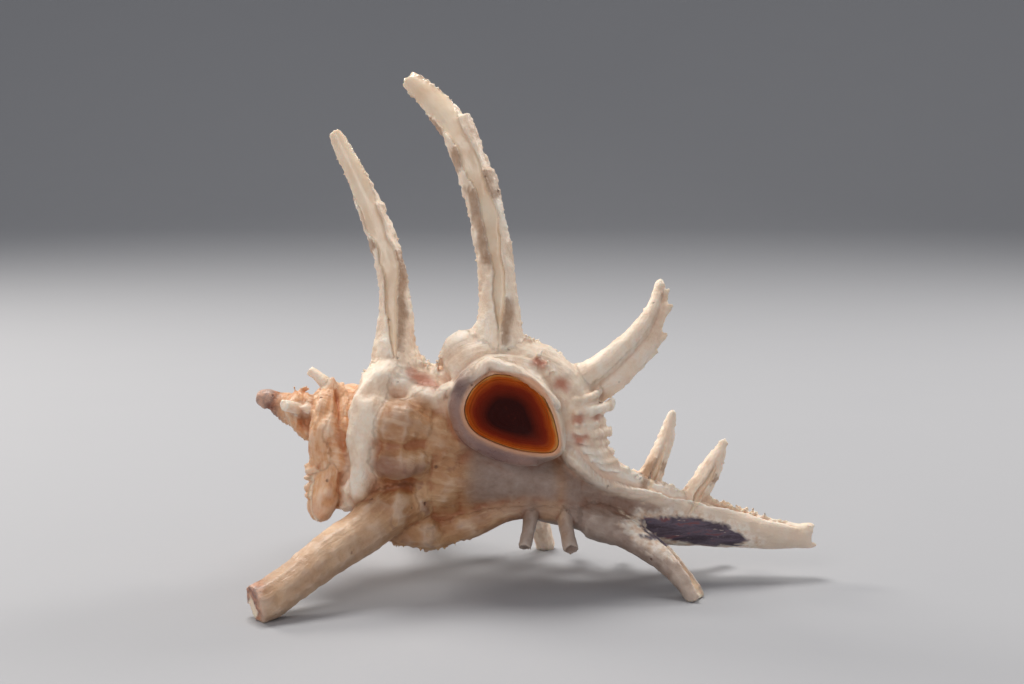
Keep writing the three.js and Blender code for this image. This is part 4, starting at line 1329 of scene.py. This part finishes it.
def shell_material(look):
    n = ShellNodes("shell_aragonite")
    colour = shaded_and_patched_colour(n, look, grown_colour(n, look))
    colour = worn_colour(n, look, aperture_colour(n, look, colour))
    gloss = n.math("MAXIMUM", n.times(n.mask("callus"), 0.7), n.mask("inner_lip"))
    gloss = n.math("MAXIMUM", gloss, n.times(n.mask("groove"), 0.8))
    roughness = n.mix(gloss, n.ramp(n.fine, [(0.3, 0.36), (0.7, 0.58)]), (0.2, 0.2, 0.2))
    keep = n.math("SUBTRACT", 1.0, n.times(gloss, 0.85))
    skin = n.bump(n.times(n.specks, keep), 0.00012, 0.5)
    skin = n.bump(n.times(n.fine, keep), 0.0003, 0.55, skin)
    skin = n.bump(n.times(n.math("ADD", n.streaks, n.times(n.bands, 0.6)), keep), 0.0004, 0.6, skin)
    skin = n.bump(n.pit, -0.00025, 0.8, skin)
    shader = n.add("ShaderNodeBsdfPrincipled", {
        "Base Color": colour, "Roughness": roughness, "Normal": skin, "IOR": 1.5,
        "Subsurface Weight": 0.25, "Subsurface Radius": (1.0, 0.6, 0.4), "Subsurface Scale": 0.0012,
        "Coat Weight": 0.12, "Coat Roughness": 0.25,
    })
    return n.finish(shader)


def operculum_material(look):
    n = Nodes("operculum_horn")
    ring = n.mask("ring")
    wobble = n.math("ADD", ring, n.times(n.math("SUBTRACT", n.noise(0.003, 3), 0.5), 0.14))
    wobble = n.math("SUBTRACT", wobble, n.times(n.math("SUBTRACT", 1.0, n.mask("newer")), 0.05))
    colour = n.ramp(wobble, [(0.42, look.centre), (0.74, look.middle),
                             (0.92, look.amber), (0.99, look.rim)])
    lines = n.math("SINE", n.math("ADD", n.times(ring, 95.0), n.times(n.noise(0.002, 3), 7.0)))
    fine_lines = n.math("SINE", n.math("ADD", n.times(ring, 260.0), n.times(n.noise(0.0012, 3), 9.0)))
    outer = n.times(n.step(ring, 0.78, 0.94), n.math("ADD", 0.25, n.times(n.mask("newer"), 0.75)))
    band = n.times(n.step(lines, 0.5, 1.0), n.times(outer, n.step(n.noise(0.0035, 2), 0.38, 0.6)))
    colour = n.mix(n.times(band, 0.7), colour, look.line)
    colour = n.mix(n.times(n.step(n.noise(0.0006, 4, 0.7), 0.55, 0.8), 0.25), colour, look.middle)
    height = n.math("ADD", n.times(lines, n.math("ADD", 0.06, outer)), n.times(fine_lines, 0.12))
    skin = n.bump(height, 0.00006, 0.7)
    skin = n.bump(n.noise(0.0005, 3), 0.00008, 0.5, skin)
    shader = n.add("ShaderNodeBsdfPrincipled", {
        "Base Color": colour, "Roughness": n.ramp(n.noise(0.001, 3), [(0.3, 0.42), (0.7, 0.6)]),
        "Normal": skin, "IOR": 1.45, "Specular IOR Level": 0.14,
        "Subsurface Weight": 0.15, "Subsurface Radius": (1.0, 0.3, 0.08), "Subsurface Scale": 0.0015,
    })
    return n.finish(shader)


FLOOR_FLECKS = (0.55, 0.55, 0.56)


def stage_material(colour):
    n = Nodes("plain_floor")
    tone = n.mix(n.times(n.noise(0.03, 3), 0.06), colour, FLOOR_FLECKS)
    shader = n.add("ShaderNodeBsdfPrincipled", {
        "Base Color": tone, "Roughness": 0.7, "Normal": n.bump(n.noise(0.0012, 3), 0.00006, 0.35),
    })
    return n.finish(shader)


# ---------------------------------------------------------------- settings


def colour_setting(name, words, value):
    """A colour that the user can change."""
    return bpy.props.FloatVectorProperty(
        name=name, description=words, subtype="COLOR", size=3, min=0, max=1, default=value)


class MurexShellSettings(bpy.types.PropertyGroup):
    join_size: bpy.props.FloatProperty(
        name="Join size",
        description="Mesh size that the whorls, ribs and roots flow together at, in millimetres",
        default=0.5, min=0.3, max=1.5)
    skin_size: bpy.props.FloatProperty(
        name="Skin size", description="Mesh size of the finished skin, in millimetres",
        default=0.25, min=0.2, max=1.0)
    most_triangles: bpy.props.IntProperty(
        name="Most triangles", description="The shell's mesh is thinned to this many triangles",
        default=192000, min=20000, max=199000)
    soften: bpy.props.IntProperty(
        name="Soften", description="Times the joined body is smoothed before its details are added",
        default=9, min=0, max=40)
    body_tan: colour_setting("Body tan", "Main colour of the last whorl", (0.42, 0.2, 0.083))
    body_pale: colour_setting("Body pale", "Lighter clouds on the last whorl", (0.62, 0.385, 0.21))
    body_shade: colour_setting("Body shade", "Darker clouds on the last whorl", (0.27, 0.11, 0.05))
    spot_brown: colour_setting("Spots", "Spots along the spiral threads", (0.26, 0.1, 0.05))
    spire_salmon: colour_setting("Spire", "Main colour of the spire", (0.76, 0.42, 0.22))
    spire_pale: colour_setting("Spire pale", "Lighter colour of the spire", (0.88, 0.64, 0.46))
    spire_rust: colour_setting("Spire rust", "Rusty blotches on the spire", (0.56, 0.22, 0.085))
    apex_rust: colour_setting("Tip", "Eroded tip of the spire", (0.52, 0.22, 0.12))
    apex_dark: colour_setting("Tip dark", "Darkest part of the eroded tip", (0.2, 0.06, 0.03))
    rib_cream: colour_setting("Rib cream", "Main colour of spines and ribs", (0.89, 0.73, 0.58))
    rib_white: colour_setting("Rib white", "Lightest part of spines and ribs", (0.96, 0.89, 0.8))
    rib_shade: colour_setting("Rib shade", "Darker part of spines and ribs", (0.74, 0.53, 0.38))
    canal_grey: colour_setting("Canal", "Main colour of the siphonal canal", (0.37, 0.27, 0.225))
    canal_shade: colour_setting("Canal shade", "Darker part of the siphonal canal", (0.23, 0.145, 0.105))
    leg_beige: colour_setting("Leg", "Main colour of the thick front leg", (0.72, 0.5, 0.33))
    leg_shade: colour_setting("Leg shade", "Darker part of the front leg", (0.47, 0.28, 0.165))
    groove_tan: colour_setting("Groove", "Smooth inside of the spines' grooves", (0.84, 0.64, 0.46))
    groove_pale: colour_setting("Groove pale", "Lighter inside of the grooves", (0.92, 0.77, 0.6))
    # Painted shadow: the brown beside the grooves, cast by their lips.
    stain: colour_setting("Stain", "Brown patches beside the grooves", (0.33, 0.18, 0.095))
    blush: colour_setting("Blush", "Pink-brown patches on the newest rib", (0.5, 0.17, 0.1))
    # Painted shadow: colour of the dark patches under and beside the knobs and at the collar's edge.
    shadow_patch: colour_setting("Dusky", "Purple-brown patches under the knobs", (0.24, 0.115, 0.085))
    callus: colour_setting("Callus", "Collar round the aperture", (0.18, 0.095, 0.092))
    callus_pale: colour_setting("Callus pale", "Lighter part of the collar", (0.34, 0.2, 0.165))
    inner_lip: colour_setting("Inner lip", "Edge of the aperture", (0.74, 0.36, 0.19))
    worn_dark: colour_setting("Worn dark", "Darkest part of the worn patch on the canal", (0.06, 0.04, 0.06))
    worn_grey: colour_setting("Worn grey", "Main colour of the worn patch on the canal", (0.13, 0.1, 0.14))
    worn_red: colour_setting("Worn red", "Reddish streaks in the worn patch", (0.2, 0.07, 0.08))
    pit: colour_setting("Pits", "Small dark pits", (0.13, 0.05, 0.03))


class MurexOperculumSettings(bpy.types.PropertyGroup):
    rings: bpy.props.IntProperty(
        name="Rings", description="Growth rings modelled on the plate",
        default=64, min=16, max=120)
    sides: bpy.props.IntProperty(
        name="Sides", description="Points round the plate",
        default=200, min=48, max=400)
    centre: colour_setting("Centre", "Dark middle of the operculum", (0.03, 0.002, 0.001))
    middle: colour_setting("Middle", "Red-brown part of the operculum", (0.2, 0.016, 0.002))
    amber: colour_setting("Amber", "Amber part near the edge", (0.5, 0.09, 0.006))
    rim: colour_setting("Rim", "Edge of the operculum", (0.66, 0.3, 0.08))
    line: colour_setting("Lines", "Olive growth lines near the edge", (0.16, 0.09, 0.025))


class MurexStageSettings(bpy.types.PropertyGroup):
    floor: colour_setting("Floor", "Colour of the floor", (0.4, 0.41, 0.44))
    camera_distance: bpy.props.FloatProperty(
        name="Camera distance", description="How far the camera stands in front of the coiling axis",
        default=0.2802, min=0.1, max=1.0, unit="LENGTH")
    camera_height: bpy.props.FloatProperty(
        name="Camera height", description="Height of the camera over the floor",
        default=0.0795, min=0.01, max=0.5, unit="LENGTH")
    camera_drop: bpy.props.FloatProperty(
        name="Camera drop", description="Angle that the camera looks down by",
        default=math.radians(8.0), min=0.0, max=1.5, subtype="ANGLE")
    lens: bpy.props.FloatProperty(
        name="Lens", description="Focal length of the camera, in millimetres",
        default=60.0, min=20.0, max=200.0)


# ---------------------------------------------------------------- operators


def settle(piece, node, material):
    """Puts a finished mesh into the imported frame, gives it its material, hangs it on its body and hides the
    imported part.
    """
    piece.data.transform(TO_FRAME)
    piece.data.materials.clear()
    piece.data.materials.append(material)
    piece.data.shade_smooth()
    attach(piece, "root")
    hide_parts(node)


class MUREX_OT_shell(bpy.types.Operator):
    """Grow the shell: whorls, canal, ribs, spines and frills in one skin"""

    bl_idname = "murex.shell"
    bl_label = "Grow the shell"

    def execute(self, context):
        look = context.scene.murex_shell
        piece = core_mesh()
        fuse(piece, look.join_size)
        relax(piece, look.soften)
        carve(piece, plug_mesh())
        heap = Heap()
        heap.meshes.append(piece.data.copy())
        bpy.data.objects.remove(piece)
        add_details(heap)
        piece = heap.object("murex_shell")
        fuse(piece, look.skin_size)
        relax(piece, 1, 0.4)
        shape_surface(piece)
        thin_out(piece, look.most_triangles)
        drop_crumbs(piece)
        paint_masks(piece)
        settle(piece, "shell", shell_material(look))
        return {"FINISHED"}


def plate_ring(outline, share, back):
    """The operculum's outline shrunk towards the start of its growth rings, back behind the aperture."""
    flat = OPERCULUM_START * (1 - share) + outline * share
    return MOUTH_CENTRE + np.stack([flat[:, 0], back, flat[:, 1]], 1)


def plate_mesh(outline, rings):
    """The dished plate, swept from the middle of its front over the rim to its back."""
    front = []
    for share in np.linspace(1.0, 0.02, rings):
        flat = OPERCULUM_START * (1 - share) + outline * share
        dish = OPERCULUM_DISH * (1 - share**2.2)
        ridge = 0.05 * math.sin(share * 88) * share**4 + 0.03 * math.sin(share * 31)
        turn = np.arctan2(flat[:, 1], flat[:, 0])
        wavy = 0.06 * share * grain_line(turn * 4, 1.2, 3)
        uneven = wavy + 0.05 * grain_line(share * 30 + turn * 0, 1, 4)
        front.append(plate_ring(outline, share, OPERCULUM_SINK + dish + ridge + uneven))
    back = [front[0] + (0, OPERCULUM_THICKNESS * 0.8, 0)]
    for share, dish in ((0.94, 0), (0.5, OPERCULUM_DISH * 0.7)):
        depth = np.full(len(outline), OPERCULUM_SINK + OPERCULUM_THICKNESS + dish)
        back.append(plate_ring(outline, share, depth))
    heap = Heap()
    sweep(heap, np.array([*front[::-1], *back]))
    return heap.object("murex_operculum")


def paint_rings(piece, outline):
    """Stores how far towards the rim each point lies, and how near the newest edge."""
    off = coordinates(piece.data)[:, [0, 2]] - MOUTH_CENTRE[[0, 2]] - OPERCULUM_START
    turn = np.arctan2(off[:, 1], off[:, 0])
    rim = outline - OPERCULUM_START
    rim_turn = np.arctan2(rim[:, 1], rim[:, 0])
    order = np.argsort(rim_turn)
    reach = np.interp(turn, rim_turn[order], np.linalg.norm(rim, axis=1)[order], period=2 * math.pi)
    set_mask(piece.data, "ring", np.linalg.norm(off, axis=1) / reach)
    set_mask(piece.data, "newer", 0.5 + 0.5 * np.cos(turn - OPERCULUM_NEWEST))


class MUREX_OT_operculum(bpy.types.Operator):
    """Model the operculum: a dished plate of horn with its growth rings"""

    bl_idname = "murex.operculum"
    bl_label = "Model the operculum"

    def execute(self, context):
        look = context.scene.murex_operculum
        outline = closed_outline(MOUTH_OUTLINE, look.sides)
        outline = outline - unit(outline) * OPERCULUM_GAP
        piece = plate_mesh(outline, look.rings)
        paint_rings(piece, outline)
        settle(piece, "operculum", operculum_material(look))
        return {"FINISHED"}


# The stage, in metres: the floor, the curve behind it and the backdrop that rises from the curve.
FLOOR_HALF = 0.8
FLOOR_STRETCH = 3  # how many times the floor is stretched sideways
CURVE_RADIUS = 0.5
CURVE_STEPS = 12
BACKDROP_HEIGHT = 0.8
LIT_PLACE = (2, 0, 32)  # what the lights point at, in the shell's standing frame
# Lights: name, place from what they point at, size, power and colour.
LIGHTS = (
    ("top", (-0.12, 0.16, 0.55), 0.25, 2.5, (1.0, 0.96, 0.9)),
    ("rim_left", (-0.4, 0.3, 0.28), 0.2, 1.3, (1.0, 0.94, 0.85)),
    ("rim_right", (0.42, 0.28, 0.3), 0.2, 1.2, (1.0, 0.96, 0.9)),
    ("front", (-0.2, -0.5, 0.3), 0.3, 0.8, (1.0, 0.93, 0.88)),
)
SKY_COLOUR = (0.88, 0.88, 0.9, 1)
SKY_STRENGTH = 0.36
SENSOR_WIDTH = 36.0


def lay_floor(colour):
    """A flat floor whose rear edge curves up into a backdrop."""
    bm = bmesh.new()
    bmesh.ops.create_grid(bm, x_segments=1, y_segments=1, size=FLOOR_HALF)
    edge = max(bm.edges, key=lambda e: sum(v.co.y for v in e.verts))
    for turn in range(1, CURVE_STEPS + 1):
        lift = math.radians(turn * 90 / CURVE_STEPS)
        grown = bmesh.ops.extrude_edge_only(bm, edges=[edge])["geom"]
        edge = next(g for g in grown if isinstance(g, bmesh.types.BMEdge))
        for vert in edge.verts:
            vert.co.y = FLOOR_HALF + CURVE_RADIUS * math.sin(lift)
            vert.co.z = CURVE_RADIUS * (1 - math.cos(lift))
    grown = bmesh.ops.extrude_edge_only(bm, edges=[edge])["geom"]
    top = [g for g in grown if isinstance(g, bmesh.types.BMVert)]
    bmesh.ops.translate(bm, vec=(0, 0, BACKDROP_HEIGHT), verts=top)
    bmesh.ops.scale(bm, vec=(FLOOR_STRETCH, 1, 1), verts=bm.verts)
    floor = new_object("floor", bm)
    floor.data.shade_smooth()
    floor.data.materials.append(stage_material(colour))


def area_light(name, place, target, size, power, colour):
    data = bpy.data.lights.new(name, "AREA")
    data.shape = "DISK"
    data.size = size
    data.energy = power
    data.color = colour
    lamp = bpy.data.objects.new(name, data)
    lamp.location = place
    lamp.rotation_euler = (target - place).to_track_quat("-Z", "Y").to_euler()
    bpy.context.scene.collection.objects.link(lamp)


def light_stage(scene):
    """Soft lights from above, behind and in front, and a dim even sky."""
    target = TO_FRAME @ Vector(LIT_PLACE)
    for name, offset, size, power, colour in LIGHTS:
        area_light(name, target + Vector(offset), target, size, power, colour)
    scene.world = bpy.data.worlds.new("studio")
    scene.world.use_nodes = True
    sky = scene.world.node_tree.nodes["Background"]
    sky.inputs["Color"].default_value = SKY_COLOUR
    sky.inputs["Strength"].default_value = SKY_STRENGTH
    scene.view_settings.view_transform = "Standard"


def place_camera(scene, look):
    data = bpy.data.cameras.new("camera")
    data.lens = look.lens
    data.sensor_width = SENSOR_WIDTH
    data.clip_start = 0.01
    camera = bpy.data.objects.new("camera", data)
    home = TO_FRAME @ Vector((0, 0, 0))
    camera.location = home + Vector((0, -look.camera_distance, look.camera_height))
    camera.rotation_euler = (math.pi / 2 - look.camera_drop, 0, 0)
    scene.collection.objects.link(camera)
    scene.camera = camera


class MUREX_OT_stage(bpy.types.Operator):
    """Lay a plain pale floor with a curved backdrop, soft studio lights and the camera"""

    bl_idname = "murex.stage"
    bl_label = "Lay the stage"

    def execute(self, context):
        look = context.scene.murex_stage
        lay_floor(look.floor)
        light_stage(context.scene)
        place_camera(context.scene, look)
        return {"FINISHED"}


class MUREX_PT_panel(bpy.types.Panel):
    """A button and the settings for each step"""

    bl_label = "Murex shell"
    bl_space_type = "VIEW_3D"
    bl_region_type = "UI"
    bl_category = "Murex"

    def draw(self, context):
        for operator, settings in (
            (MUREX_OT_stage, context.scene.murex_stage),
            (MUREX_OT_shell, context.scene.murex_shell),
            (MUREX_OT_operculum, context.scene.murex_operculum),
        ):
            box = self.layout.box()
            box.operator(operator.bl_idname)
            for key in settings.__annotations__:
                box.prop(settings, key)


CLASSES = (
    MurexShellSettings, MurexOperculumSettings, MurexStageSettings,
    MUREX_OT_stage, MUREX_OT_shell, MUREX_OT_operculum, MUREX_PT_panel,
)


def register():
    for kind in CLASSES:
        bpy.utils.register_class(kind)
    bpy.types.Scene.murex_shell = bpy.props.PointerProperty(type=MurexShellSettings)
    bpy.types.Scene.murex_operculum = bpy.props.PointerProperty(type=MurexOperculumSettings)
    bpy.types.Scene.murex_stage = bpy.props.PointerProperty(type=MurexStageSettings)


def unregister():
    del bpy.types.Scene.murex_stage
    del bpy.types.Scene.murex_operculum
    del bpy.types.Scene.murex_shell
    for kind in reversed(CLASSES):
        bpy.utils.unregister_class(kind)


def main():
    register()
    bpy.ops.murex.stage()
    bpy.ops.murex.shell()
    bpy.ops.murex.operculum()


if __name__ == "__main__":
    main()
